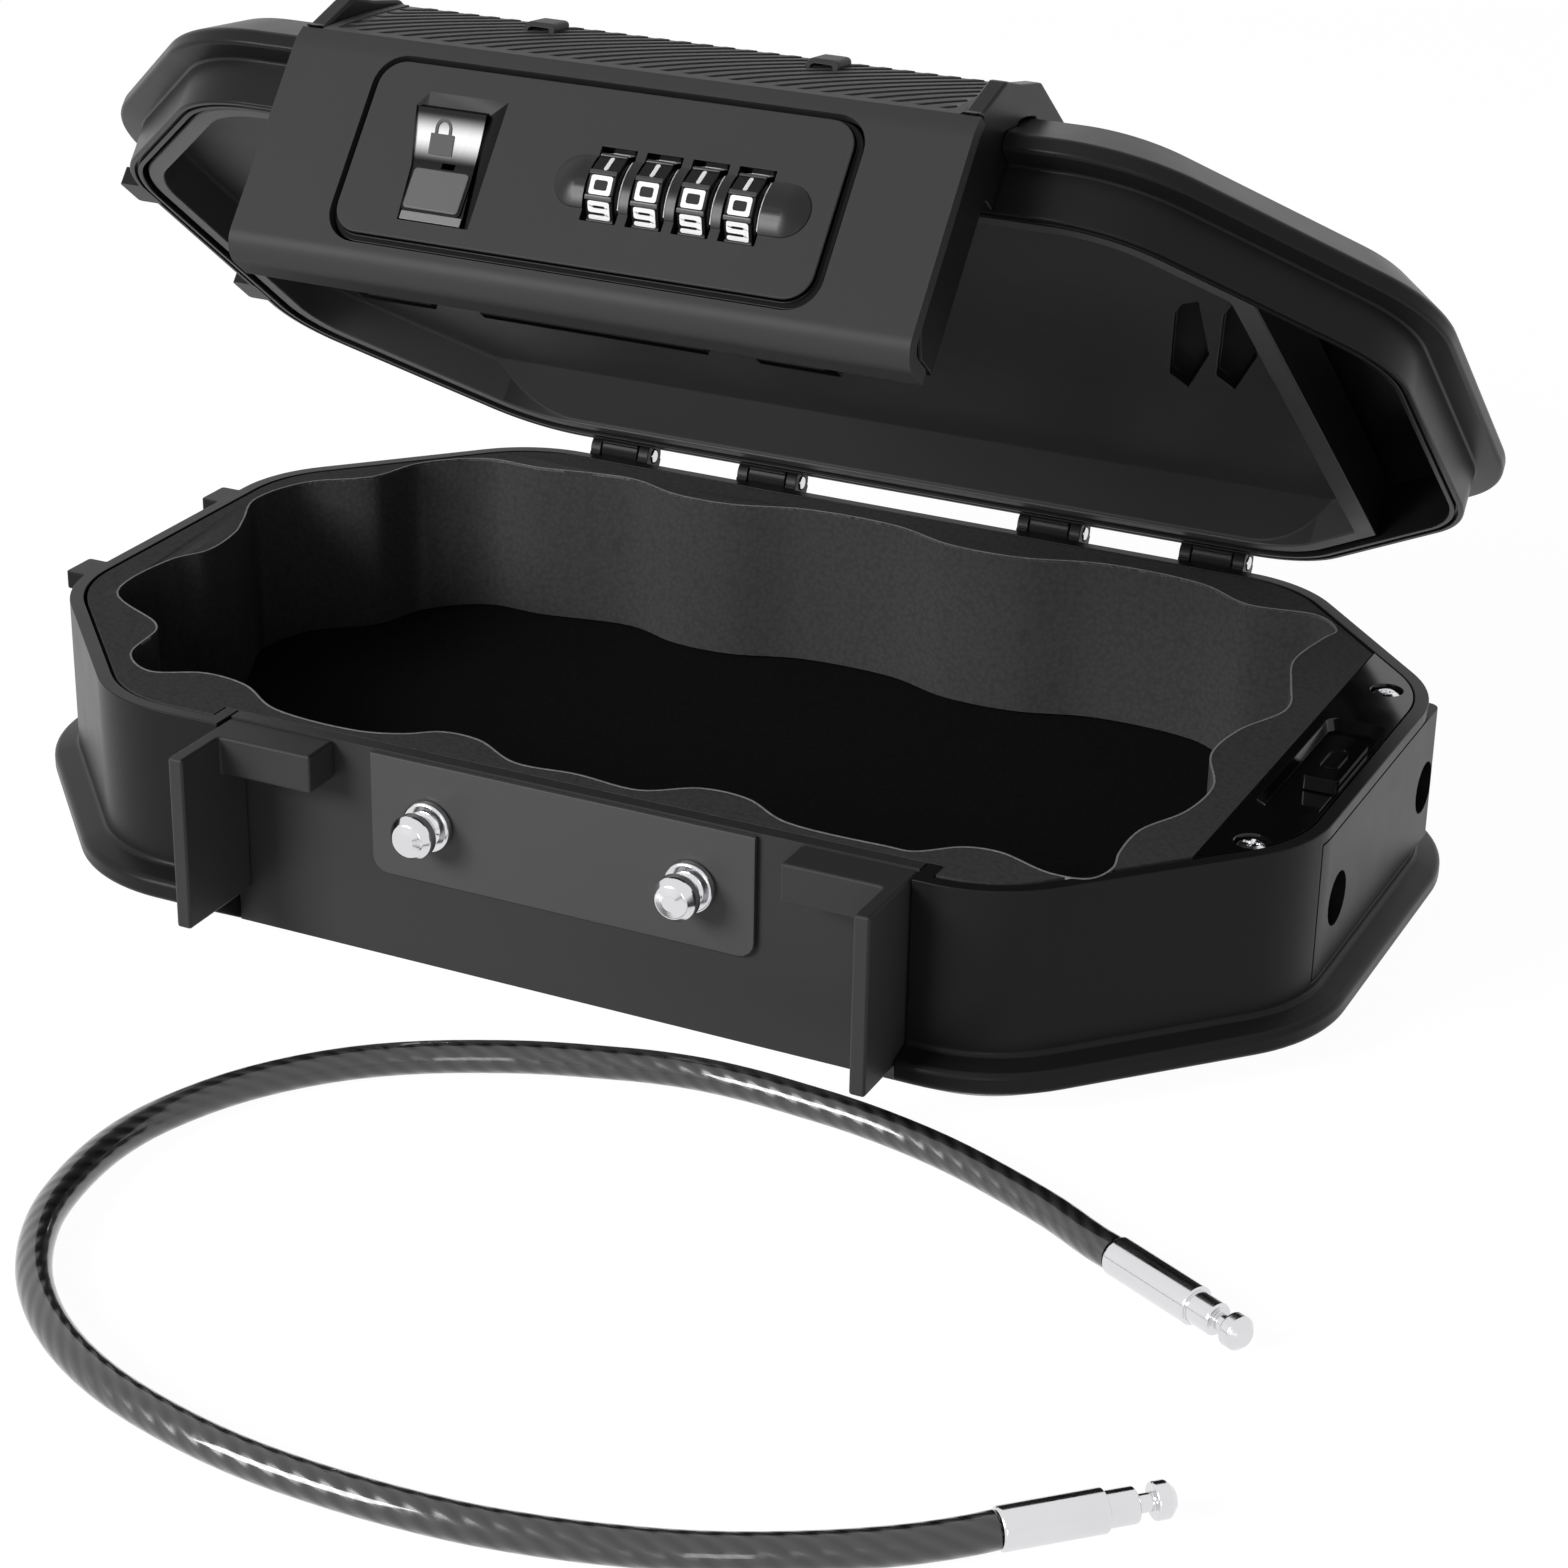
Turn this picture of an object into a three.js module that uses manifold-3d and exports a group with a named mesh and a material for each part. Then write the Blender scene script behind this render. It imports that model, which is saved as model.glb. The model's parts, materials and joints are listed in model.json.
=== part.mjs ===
// Portable car safe: a foam lined tray with a hinged lid, a number lock over its front edge and a cable lock.
// Millimetres. X runs along the length, Y from front to back, Z up.
// The origin is the centre of the underside.
// The lid is drawn closed and then turned open about its hinge axis.
import * as THREE from 'three';
import { mergeVertices } from 'three/addons/utils/BufferGeometryUtils.js';
import Module from 'manifold-3d';

const wasm = await Module();
wasm.setup();

// Driving dimensions
const gap = 0.3;
const overrun = 4;
const wall = 3;
const lidOpenAngle = THREE.MathUtils.degToRad(38.7);

const plan = { halfLength: 143, halfWidth: 89.5, chamferLength: 45, chamferWidth: 48, cornerRadius: 30 };
const cornerSteps = 5;

const base = {
  height: 46, floor: 4, undersideInset: 5.5, flare: 5.5, bevelHeight: 6.5, bandHeight: 3.8, shoulder: 1.4,
};
const lid = {
  lift: 0.8, wallHeight: 9.7, flare: 5.5, flareRise: 0.6, bandHeight: 3.2, domeRise: 8.2, domeInset: 5.5,
  ceilingInset: 10.5, innerDrop: 0.5,
};
const sideTab = { length: 9, reach: 4.5, height: 4, frontMargin: 11.5, backMargin: 18.5 };

// The lock sits a little to the right of the middle of the front
const lockX = 5;
const frontPanel = { halfLength: 75.8, recess: 4.7, thickness: 3 };
const striker = { halfLength: 42.5, thickness: 1, bottom: 19.6, cornerRadius: 3.5, topDrop: 0.5 };
const stud = {
  offset: 29.05, height: 32.6, discRadius: 5.35, discDepth: 1.8, neckRadius: 2.9, neckDepth: 2.9,
  headRadius: 4.5,
  headDepth: 4.3, tipRadius: 1.7, edge: 0.5, shankRadius: 2.5,
};
const nut = { radius: 5, thickness: 3.2, sides: 6 };
const guard = { thickness: 3.3, reach: 22.2, bottom: 8.5, armLength: 21, armReach: 9, armHeight: 8.1 };

const foam = { seatGap: 0.6, nutRelief: 6.3, nutReliefDepth: 1.5 };
const liner = { thickness: 3.4 };

// Cable lock in the right end of the tray, with its places measured from that end
const cableLock = {
  length: 18.7, coverThickness: 2.7, plateBottom: 14, plateTopMargin: 3, plateFrontMargin: 7.5,
  plateBackReach: 2.5,
  holeHeight: 27, frontHoleMargin: 18.9, backHoleMargin: 5.6, holeRadius: 5.6, socketRadius: 4,
  socketDepth: 11.7,
};
const thumb = { endMargin: 12, length: 8, front: -13.5, back: 6.3, proud: 1.3, travel: 6 };
const thumbRecess = { leftMargin: 16.8, rightMargin: 4, front: -28, back: 20, depth: 1.5 };
const keyPlate = {
  thickness: 2.5, stemWidth: 8, halfHeight: 5.6, frontMargin: 5.5, backMargin: 1.3, eyeRadius: 3.4,
  slotHalfWidth: 1.8, stemBack: 0.5,
};
const coverScrew = {
  headRadius: 3, headHeight: 1.6, shankRadius: 1.3, shankLength: 9, driveWidth: 1, driveDepth: 0.8,
};
const backScrew = { endMargin: 10.4, sideMargin: 51 };
const frontScrew = { endMargin: 11.4, sideMargin: 45.1 };

// Hinges on the rear wall
const hinge = {
  reach: 4.3, rise: 0.4, width: 15.5, earWidth: 2.7, barrelRadius: 3.6, pinRadius: 1.5, leafThickness: 2.4,
  rootTop: 5, rootHeight: 12,
};
const hingeOffsets = [-75.5, -36, 36, 75.5];

// Lock housing over the front edge of the lid
const housing = {
  sideClearance: 1.9, reach: 19.3, thickness: 3, bottom: 9, rollHeight: 4.5, rollDepth: 4.3, lipDepth: 10.5,
  topRise: 10.2, cheekInset: 0.3, cheekWall: 2.5, cheekFrame: 7.6,
};
const backPlate = {
  thickness: 2.5, bottom: 11.5, stepHalfLength: 50.8, stepGap: 2.1, slotHalfWidth: 5.2, slotTop: 5.2,
};
const grip = { slantDepth: 10, slantRise: 9.2, upperDepth: 14.3, upperRise: 6.5, thickness: 2.8 };
const cheek = {
  frontRise: 1.3, frontDepth: 2.2, kneeRise: 9.1, kneeDepth: 6, browRise: 2.8, browDepth: 6.8, rise: 4.9,
  depth: 9,
};
const band = { length: 132, endSlope: 9, thickness: 2.6 };
const gripLoop = { offset: 30, halfLength: 4.5, thickness: 1.4, height: 2.6, depth: 3, back: 3.4 };

const lockPanel = {
  halfLength: 50.5, topMargin: 4, bottomMargin: 6.7, cornerRadius: 6, thickness: 2.5,
};
const bezel = { centre: 18.9, halfLength: 25.85, halfHeight: 5.25, proud: 1.8, edge: 1.2 };
const dial = {
  centre: 18.1, pitch: 9.4, count: 4, width: 6.6, radius: 8, drop: 0.75, reach: 3.4, ridge: 0.35,
};
const dialSlot = { halfHeight: 7.4, side: 0.4 };
const cam = { thickness: 1.9, radius: 4, notchHalfWidth: 1.1, notchDepth: 1.6 };
const axle = { radius: 1.3, overhang: 1.6 };
const frame = {
  sideClearance: 3.8, bottom: 13.5, topDrop: 3, thickness: 2.2, earWidth: 2, earHalfHeight: 4.5,
};

const slide = {
  centre: -29.7, halfLength: 8.5, bottomMargin: 4.3, topMargin: 6, trayThickness: 2.4, traySink: 1,
  buttonHalfLength: 6.5,
  buttonBottom: 23.3, buttonHeight: 8.3, buttonProud: 1.4, stemHalfWidth: 2.5, stemHeight: 5, travel: 9,
};
const latch = {
  thickness: 3.4, barBottom: 39.6, barHeight: 5, shankWidth: 5, footLength: 6.75, footHeight: 6,
  clearance: 0.6,
};

// Tray of the lid
const lidTray = {
  lipDrop: 0.6, height: 12.2, endMargin: 24, rim: 12, rightRim: 6, depth: 9.5, slopeFront: 32, slopeRise: 1.6,
};
const hexPocket = { halfLength: 15, halfWidth: 2.6, pointLength: 6, depth: 2 };
const leftHex = { endMargin: 19.5, sideMargin: 47 };
const rightHex = { endMargin: 11.5, sideMargin: 48.5 };

// Loose steel cable with a fitting at each end
const cable = { radius: 3.2, sides: 8, lay: 3.8 };
const fitting = {
  ferruleRadius: 3.65, shaftRadius: 3, neckRadius: 1.55, headRadius: 3.15, shaftLength: 5.3, neckLength: 2.8,
  headLength: 3.6, edge: 0.5,
};
const cableRoute = [
  [138.9, -129.3], [134.4, -127], [124, -120.8], [111.5, -115.1], [99.5, -110.6], [88.2, -107.6],
  [77.5, -105.7],
  [66.5, -104.7], [55.8, -104.1], [45.2, -104.6], [35.6, -106.4], [26.4, -109.2], [17.2, -112.3],
  [8.5, -116.1],
  [-4, -122.9], [-14, -130.3], [-22.5, -139.2], [-29.2, -149], [-33.9, -159.3], [-36.8, -169.6],
  [-37.6, -179.9],
  [-36.2, -192.4], [-33, -203.9], [-26.2, -216.4], [-18, -225.9], [-7.2, -234.3], [6, -241], [21.4, -245.7],
  [37.9, -248.5], [57.7, -249.1], [75.4, -247.8], [87, -245.7], [98.4, -242.7], [112.9, -237.5],
  [126.5, -230.6],
  [139.3, -222.5], [147.4, -216.1], [151.1, -212.6],
];
const fittingEnds = [[157.4, -138.6], [164.2, -200.2]];

// Heights and planes that several pieces share
const wallFront = -plan.halfWidth;
const endHalf = plan.halfWidth - plan.chamferWidth;
const panelFront = wallFront + frontPanel.recess;
const panelBack = panelFront + frontPanel.thickness;
const strikerFront = panelFront - gap - striker.thickness;
const lidBottom = base.height + lid.lift;
const flangeBottom = lidBottom + lid.wallHeight;
const shoulderTop = flangeBottom + lid.flareRise + lid.bandHeight;
const domeTop = shoulderTop + lid.domeRise;
const hingeY = plan.halfWidth + hinge.reach;
const hingeZ = base.height + hinge.rise;
const guardInner = frontPanel.halfLength - guard.thickness;
const housingFront = wallFront - housing.reach;
const housingHalf = guardInner - housing.sideClearance;
const housingTop = lidBottom + housing.topRise;
const cheekOuter = housingHalf - housing.cheekInset;
const lockPanelTop = housingTop - lockPanel.topMargin;
const lockPanelBottom = housing.bottom + lockPanel.bottomMargin;
const recessBottom = lockPanelBottom + slide.bottomMargin;
const recessTop = lockPanelTop - slide.topMargin;
const dialZ = (lockPanelTop + lockPanelBottom) / 2 - dial.drop;
const panelDepth = housingFront + lockPanel.thickness;
const dialY = housingFront - dial.reach + dial.radius;
const coverBottom = base.height - cableLock.coverThickness;
const cableLockLeft = plan.halfLength - cableLock.length;
const endPlateTop = base.height - cableLock.plateTopMargin;
const endPlateFront = cableLock.plateFrontMargin - endHalf;
const endPlateBack = endHalf + cableLock.plateBackReach;
const frontHoleY = cableLock.frontHoleMargin - endHalf;
const backHoleY = endHalf - cableLock.backHoleMargin;

const colour = {
  shell: 0x2b2b2b, panel: 0x3a3a3a, striker: 0x454545, foam: 0x383838, gloss: 0x141414, liner: 0x262626,
  steel: 0xd8d8d8, darkSteel: 0x777777, thumb: 0x666666, sleeve: 0x303032, digit: 0x111111, brass: 0xb08d3c,
};
const finish = {
  shell: { color: colour.shell, roughness: 0.5, metalness: 0 },
  panel: { color: colour.panel, roughness: 0.5, metalness: 0.2 },
  striker: { color: colour.striker, roughness: 0.4, metalness: 0.3 },
  foam: { color: colour.foam, roughness: 0.95, metalness: 0 },
  gloss: { color: colour.gloss, roughness: 0.15, metalness: 0 },
  liner: { color: colour.liner, roughness: 0.7, metalness: 0 },
  steel: { color: colour.steel, roughness: 0.2, metalness: 1 },
  darkSteel: { color: colour.darkSteel, roughness: 0.4, metalness: 0.9 },
  thumb: { color: colour.thumb, roughness: 0.5, metalness: 0 },
  sleeve: { color: colour.sleeve, roughness: 0.25, metalness: 0 },
  dial: { color: colour.digit, roughness: 0.3, metalness: 0 },
  brass: { color: colour.brass, roughness: 0.35, metalness: 1 },
};

// Geometry helpers

// A closed triangle mesh becomes a solid that can be joined and cut.
function solid(geometry) {
  const plain = geometry.clone();
  plain.deleteAttribute('normal');
  plain.deleteAttribute('uv');
  const merged = mergeVertices(plain);
  return new wasm.Manifold(new wasm.Mesh({
    numProp: 3,
    vertProperties: Float32Array.from(merged.attributes.position.array),
    triVerts: Uint32Array.from(merged.index.array),
  }));
}

function surface(body) {
  const mesh = body.getMesh();
  const geometry = new THREE.BufferGeometry();
  geometry.setAttribute('position', new THREE.BufferAttribute(Float32Array.from(mesh.vertProperties), 3));
  geometry.setIndex(Array.from(mesh.triVerts));
  return geometry;
}

function cut(geometry, cutters) {
  return surface(cutters.reduce((rest, cutter) => rest.subtract(solid(cutter)), solid(geometry)));
}

function join(geometries) {
  return surface(geometries.map(solid).reduce((sum, next) => sum.add(next)));
}

function common(geometry, keeper) {
  return surface(solid(geometry).intersect(solid(keeper)));
}

function block(x0, x1, y0, y1, z0, z1) {
  const geometry = new THREE.BoxGeometry(x1 - x0, y1 - y0, z1 - z0);
  return geometry.translate((x0 + x1) / 2, (y0 + y1) / 2, (z0 + z1) / 2);
}

function extruded(points, depth, matrix, hole) {
  const shape = new THREE.Shape(points.map(([u, v]) => new THREE.Vector2(u, v)));
  if (hole) shape.holes.push(new THREE.Path(hole.map(([u, v]) => new THREE.Vector2(u, v))));
  const geometry = new THREE.ExtrudeGeometry(shape, { depth, bevelEnabled: false, curveSegments: 1 });
  return geometry.applyMatrix4(matrix);
}

const axisX = new THREE.Vector3(1, 0, 0);
const axisY = new THREE.Vector3(0, 1, 0);
const axisZ = new THREE.Vector3(0, 0, 1);

// Outline in X and Y, drawn up along Z
function alongZ(points, z0, z1, hole) {
  return extruded(points, z1 - z0, new THREE.Matrix4().makeTranslation(0, 0, z0), hole);
}

// Outline in Y and Z, drawn along X
function alongX(points, x0, x1, hole) {
  const turn = new THREE.Matrix4().makeBasis(axisY, axisZ, axisX).setPosition(x0, 0, 0);
  return extruded(points, x1 - x0, turn, hole);
}

// Outline in X and Z, drawn along Y
function alongY(points, y0, y1, hole) {
  const turn = new THREE.Matrix4().makeBasis(axisX, axisZ, axisY.clone().negate()).setPosition(0, y1, 0);
  return extruded(points, y1 - y0, turn, hole);
}

// A profile of [radius, distance] pairs turned about the Y axis
function turned(profile, sides) {
  const body = solid(new THREE.LatheGeometry(profile.map(([r, h]) => new THREE.Vector2(r, h)), sides));
  return surface(body);
}

function rodX(radius, x0, x1, y, z, sides) {
  return turned([[0, 0], [radius, 0], [radius, x1 - x0], [0, x1 - x0]], sides)
    .rotateZ(-Math.PI / 2).translate(x0, y, z);
}

function rodY(radius, y0, y1, x, z, sides) {
  return turned([[0, 0], [radius, 0], [radius, y1 - y0], [0, y1 - y0]], sides).translate(x, y0, z);
}

function rodZ(radius, z0, z1, x, y, sides) {
  return turned([[0, 0], [radius, 0], [radius, z1 - z0], [0, z1 - z0]], sides)
    .rotateX(Math.PI / 2).translate(x, y, z0);
}

function roundedRectangle(u0, u1, v0, v1, radius, steps) {
  const points = [];
  const centres = [
    [u1 - radius, v1 - radius], [u0 + radius, v1 - radius], [u0 + radius, v0 + radius],
    [u1 - radius, v0 + radius],
  ];
  centres.forEach(([u, v], corner) => {
    for (let step = 0; step <= steps; step += 1) {
      const angle = (corner + step / steps) * Math.PI / 2;
      points.push([u + radius * Math.cos(angle), v + radius * Math.sin(angle)]);
    }
  });
  return points;
}

// The eight-sided plan with rounded corners, moved in by an inset. Every inset has the same number of points.
function planOutline(inset) {
  const straightX = plan.halfLength - plan.chamferLength;
  const corners = [
    [plan.halfLength, endHalf], [straightX, plan.halfWidth], [-straightX, plan.halfWidth],
    [-plan.halfLength, endHalf], [-plan.halfLength, -endHalf], [-straightX, -plan.halfWidth],
    [straightX, -plan.halfWidth], [plan.halfLength, -endHalf],
  ];
  const slope = Math.atan2(plan.chamferLength, plan.chamferWidth);
  const normals = [
    0, slope, Math.PI / 2, Math.PI - slope, Math.PI, Math.PI + slope, 3 * Math.PI / 2, 2 * Math.PI - slope,
    2 * Math.PI,
  ];
  const points = [];
  corners.forEach(([x, y], index) => {
    const from = normals[index];
    const turn = normals[index + 1] - from;
    const reach = plan.cornerRadius / Math.cos(turn / 2);
    const centreX = x - reach * Math.cos(from + turn / 2);
    const centreY = y - reach * Math.sin(from + turn / 2);
    for (let step = 0; step <= cornerSteps; step += 1) {
      const angle = from + turn * step / cornerSteps;
      const radius = plan.cornerRadius - inset;
      points.push([centreX + radius * Math.cos(angle), centreY + radius * Math.sin(angle)]);
    }
  });
  return points;
}

// A closed skin through plan outlines given as [inset, height], with a cap on the first and on the last.
function planLoft(levels) {
  const rings = levels.map(([inset, height]) => planOutline(inset).map(([x, y]) => [x, y, height]));
  const count = rings[0].length;
  const positions = rings.flat(2);
  const indices = [];
  for (let ring = 0; ring + 1 < rings.length; ring += 1) {
    for (let at = 0; at < count; at += 1) {
      const a = ring * count + at;
      const b = ring * count + (at + 1) % count;
      indices.push(a, b, b + count, a, b + count, a + count);
    }
  }
  const last = (rings.length - 1) * count;
  for (let at = 1; at + 1 < count; at += 1) {
    indices.push(0, at + 1, at);
    indices.push(last, last + at, last + at + 1);
  }
  const geometry = new THREE.BufferGeometry();
  geometry.setAttribute('position', new THREE.Float32BufferAttribute(positions, 3));
  geometry.setIndex(indices);
  return geometry;
}

const safe = new THREE.Group();
const hingeGroup = new THREE.Group();
hingeGroup.position.set(0, hingeY, hingeZ);
hingeGroup.rotation.x = -lidOpenAngle;
const lidGroup = new THREE.Group();
lidGroup.position.set(0, -hingeY, -hingeZ);
hingeGroup.add(lidGroup);
safe.add(hingeGroup);

function place(group, name, geometry, look) {
  const plain = geometry.index ? geometry.toNonIndexed() : geometry;
  plain.computeVertexNormals();
  const mesh = new THREE.Mesh(plain, new THREE.MeshStandardMaterial({ name, ...look }));
  mesh.name = name;
  group.add(mesh);
}

// Base shell
const notchHalf = frontPanel.halfLength + gap;
const returnHalf = notchHalf + wall;
const panelSeat = panelBack + gap;

function tabBlocks(top) {
  return [sideTab.frontMargin - endHalf, endHalf - sideTab.backMargin].map((y) => block(
    -plan.halfLength - sideTab.reach, -plan.halfLength + wall / 2, y - sideTab.length / 2,
    y + sideTab.length / 2,
    top - sideTab.height, top,
  ));
}

function makeBaseShell() {
  const outside = planLoft([
    [base.undersideInset, 0], [-base.flare, base.bevelHeight],
    [-base.flare, base.bevelHeight + base.bandHeight],
    [0, base.bevelHeight + base.bandHeight + base.shoulder], [0, base.height],
  ]);
  const hollow = planLoft([[wall, base.floor], [wall, base.height + overrun]]);
  const returnWalls = [-1, 1].map((side) => {
    const inner = lockX + side * notchHalf;
    const outer = lockX + side * returnHalf;
    return block(
      Math.min(inner, outer), Math.max(inner, outer), wallFront, panelSeat, 0, base.height + 2 * overrun,
    );
  });
  const cavity = cut(hollow, returnWalls);
  const notch = block(
    lockX - notchHalf, lockX + notchHalf, wallFront - base.flare - overrun, panelSeat, -overrun,
    base.height + overrun,
  );
  const window = block(
    plan.halfLength - wall - overrun, plan.halfLength + overrun, endPlateFront - gap, endPlateBack + gap,
    cableLock.plateBottom - gap, endPlateTop + gap,
  );
  return cut(join([outside, ...tabBlocks(base.height)]), [cavity, notch, window]);
}
place(safe, 'base_shell', makeBaseShell(), finish.shell);

// Front panel, striker plate and locking studs
const studPlaces = [['left', lockX - stud.offset], ['right', lockX + stud.offset]];
const studHoles = studPlaces.map(([, x]) => rodY(
  stud.shankRadius + gap, strikerFront - overrun, panelBack + overrun, x, stud.height, 16,
));

place(safe, 'front_panel', cut(
  block(
    lockX - frontPanel.halfLength, lockX + frontPanel.halfLength, panelFront, panelBack, gap, base.height,
  ),
  studHoles,
), finish.panel);

function makeStriker() {
  const top = base.height - striker.topDrop;
  const rounded = roundedRectangle(
    lockX - striker.halfLength, lockX + striker.halfLength, striker.bottom, top + striker.cornerRadius,
    striker.cornerRadius, 4,
  );
  const square = block(
    lockX - striker.halfLength - overrun, lockX + striker.halfLength + overrun, strikerFront - overrun,
    panelFront,
    0, top,
  );
  return cut(common(alongY(rounded, strikerFront, strikerFront + striker.thickness), square), studHoles);
}
place(safe, 'striker_plate', makeStriker(), finish.striker);

function makeStud(x) {
  const shank = striker.thickness + 2 * gap + frontPanel.thickness + gap + nut.thickness;
  const neckEnd = stud.discDepth + stud.neckDepth;
  const profile = [
    [0, -shank - gap], [stud.shankRadius, -shank - gap], [stud.shankRadius, 0], [stud.discRadius, 0],
    [stud.discRadius, stud.discDepth - stud.edge], [stud.discRadius - stud.edge, stud.discDepth],
    [stud.neckRadius, stud.discDepth], [stud.neckRadius, neckEnd], [stud.headRadius - stud.edge, neckEnd],
    [stud.headRadius, neckEnd + stud.edge], [stud.headRadius, neckEnd + stud.headDepth / 2],
    [stud.tipRadius * 2, neckEnd + stud.headDepth - stud.edge], [stud.tipRadius, neckEnd + stud.headDepth],
    [0, neckEnd + stud.headDepth],
  ];
  return turned(profile, 20).rotateX(Math.PI).translate(x, strikerFront - gap, stud.height);
}
studPlaces.forEach(([side, x]) => place(safe, `stud_${side}`, makeStud(x), finish.steel));

function makeNut(x) {
  const back = panelBack + gap;
  const body = rodY(nut.radius, back, back + nut.thickness, x, stud.height, nut.sides);
  const bore = rodY(
    stud.shankRadius + gap, back - overrun, back + nut.thickness + overrun, x, stud.height, 16,
  );
  return cut(body, [bore]);
}
studPlaces.forEach(([side, x]) => place(safe, `stud_nut_${side}`, makeNut(x), finish.darkSteel));

// Guard brackets, one each side of the lock
function makeGuard(side) {
  const back = panelFront - gap;
  const inner = guardInner;
  const outer = frontPanel.halfLength;
  const top = base.height - gap;
  const outline = [
    [inner - guard.armLength, back], [inner - guard.armLength, back - guard.armReach],
    [inner, back - guard.armReach],
    [inner, back - guard.reach], [outer, back - guard.reach], [outer, back],
  ].map(([x, y]) => [lockX + side * x, y]);
  const full = alongZ(outline, guard.bottom, top);
  const underArm = block(
    Math.min(lockX, lockX + side * inner), Math.max(lockX, lockX + side * inner), back - guard.reach,
    back + overrun,
    guard.bottom - overrun, top - guard.armHeight,
  );
  return cut(full, [underArm]);
}
place(safe, 'guard_bracket_left', makeGuard(-1), finish.shell);
place(safe, 'guard_bracket_right', makeGuard(1), finish.shell);

// Foam in the tray. Places on the pocket's edge are shares of the half length and half width.
const pocketShares = [
  [-0.91, -0.44], [-0.79, -0.56], [-0.77, -0.6], [-0.75, -0.75], [-0.69, -0.815], [-0.615, -0.765],
  [-0.54, -0.78],
  [-0.455, -0.866], [-0.31, -0.883], [-0.25, -0.85], [-0.205, -0.8], [-0.147, -0.8], [-0.063, -0.871],
  [0.03, -0.861],
  [0.13, -0.871], [0.2, -0.8], [0.27, -0.8], [0.35, -0.87], [0.5, -0.878], [0.535, -0.875], [0.59, -0.805],
  [0.637, -0.793], [0.72, -0.838], [0.77, -0.825], [0.785, -0.76], [0.776, -0.68], [0.776, -0.555],
  [0.81, -0.42],
  [0.815, -0.27], [0.776, -0.106], [0.783, 0.05], [0.817, 0.19], [0.817, 0.25], [0.797, 0.35], [0.77, 0.5],
  [0.783, 0.676], [0.79, 0.726], [0.748, 0.8], [0.636, 0.788], [0.545, 0.866], [0.38, 0.88], [0.25, 0.82],
  [0.13, 0.82], [0.02, 0.88], [-0.14, 0.88], [-0.26, 0.82], [-0.36, 0.82], [-0.46, 0.872], [-0.622, 0.832],
  [-0.72, 0.826], [-0.804, 0.715], [-0.84, 0.56], [-0.923, 0.436], [-0.951, 0.268], [-0.916, 0.128],
  [-0.895, 0.04],
  [-0.888, -0.1], [-0.916, -0.2],
];

function pocketOutline() {
  const points = pocketShares.map(([x, y]) => new THREE.Vector3(x * plan.halfLength, y * plan.halfWidth, 0));
  const curve = new THREE.CatmullRomCurve3(points, true, 'centripetal');
  return curve.getPoints(pocketShares.length * 2).slice(0, -1).map((point) => [point.x, point.y]);
}

const trayInset = wall + gap;
function trimToTray(geometry, rightX) {
  const left = lockX - returnHalf - gap;
  const right = lockX + returnHalf + gap;
  const front = block(left, right, wallFront - overrun, panelSeat, -overrun, base.height + overrun);
  const rightEnd = block(
    rightX, plan.halfLength + overrun, -plan.halfWidth, plan.halfWidth, -overrun, base.height + overrun,
  );
  return cut(geometry, [front, rightEnd]);
}

const linerBottom = base.floor + gap;
const linerTop = linerBottom + liner.thickness;
const foamBottom = linerTop + foam.seatGap;

function makeFoamInsert() {
  const sheet = planLoft([[trayInset, foamBottom], [trayInset, base.height]]);
  const pocket = alongZ(pocketOutline(), foamBottom - overrun, base.height + overrun);
  const reliefs = studPlaces.map(([, x]) => block(
    x - foam.nutRelief, x + foam.nutRelief, panelBack - overrun,
    panelBack + gap + nut.thickness + foam.nutReliefDepth,
    stud.height - foam.nutRelief, stud.height + foam.nutRelief,
  ));
  return cut(trimToTray(sheet, cableLockLeft - gap), [pocket, ...reliefs]);
}
place(safe, 'foam_insert', makeFoamInsert(), finish.foam);

place(safe, 'floor_liner', trimToTray(
  planLoft([[trayInset, linerBottom], [trayInset, linerTop]]), cableLockLeft - gap,
), finish.foam);

// Cable lock: body, cover, end plate, screws, and the keyhole plate with its thumb block
const plateInner = plan.halfLength - wall;
const bodyOuter = plateInner - gap;
const cableHoleYs = [frontHoleY, backHoleY];
const coverScrewPlaces = [
  { x: plan.halfLength - backScrew.endMargin, y: plan.halfWidth - backScrew.sideMargin },
  { x: plan.halfLength - frontScrew.endMargin, y: frontScrew.sideMargin - plan.halfWidth },
];
const thumbLeft = plan.halfLength - thumb.endMargin;
const keyPlateLeft = thumbLeft + gap;
const keyPlateRight = keyPlateLeft + keyPlate.thickness;
const stemFront = thumb.back - keyPlate.stemBack - keyPlate.stemWidth;
const stemBack = thumb.back - keyPlate.stemBack;
const keyPlateFront = frontHoleY - keyPlate.frontMargin;
const keyPlateBack = backHoleY + thumb.travel + keyPlate.slotHalfWidth + keyPlate.backMargin;

function lockBay(bottom, top) {
  const filled = planLoft([[trayInset, bottom], [trayInset, top]]);
  const rest = block(
    -plan.halfLength - overrun, cableLockLeft, -plan.halfWidth, plan.halfWidth, bottom - overrun,
    top + overrun,
  );
  return cut(filled, [rest]);
}

function stemSlot(bottom, top) {
  return block(
    keyPlateLeft - gap, keyPlateRight + gap, stemFront - thumb.travel - gap, stemBack + gap, bottom, top,
  );
}

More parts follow.
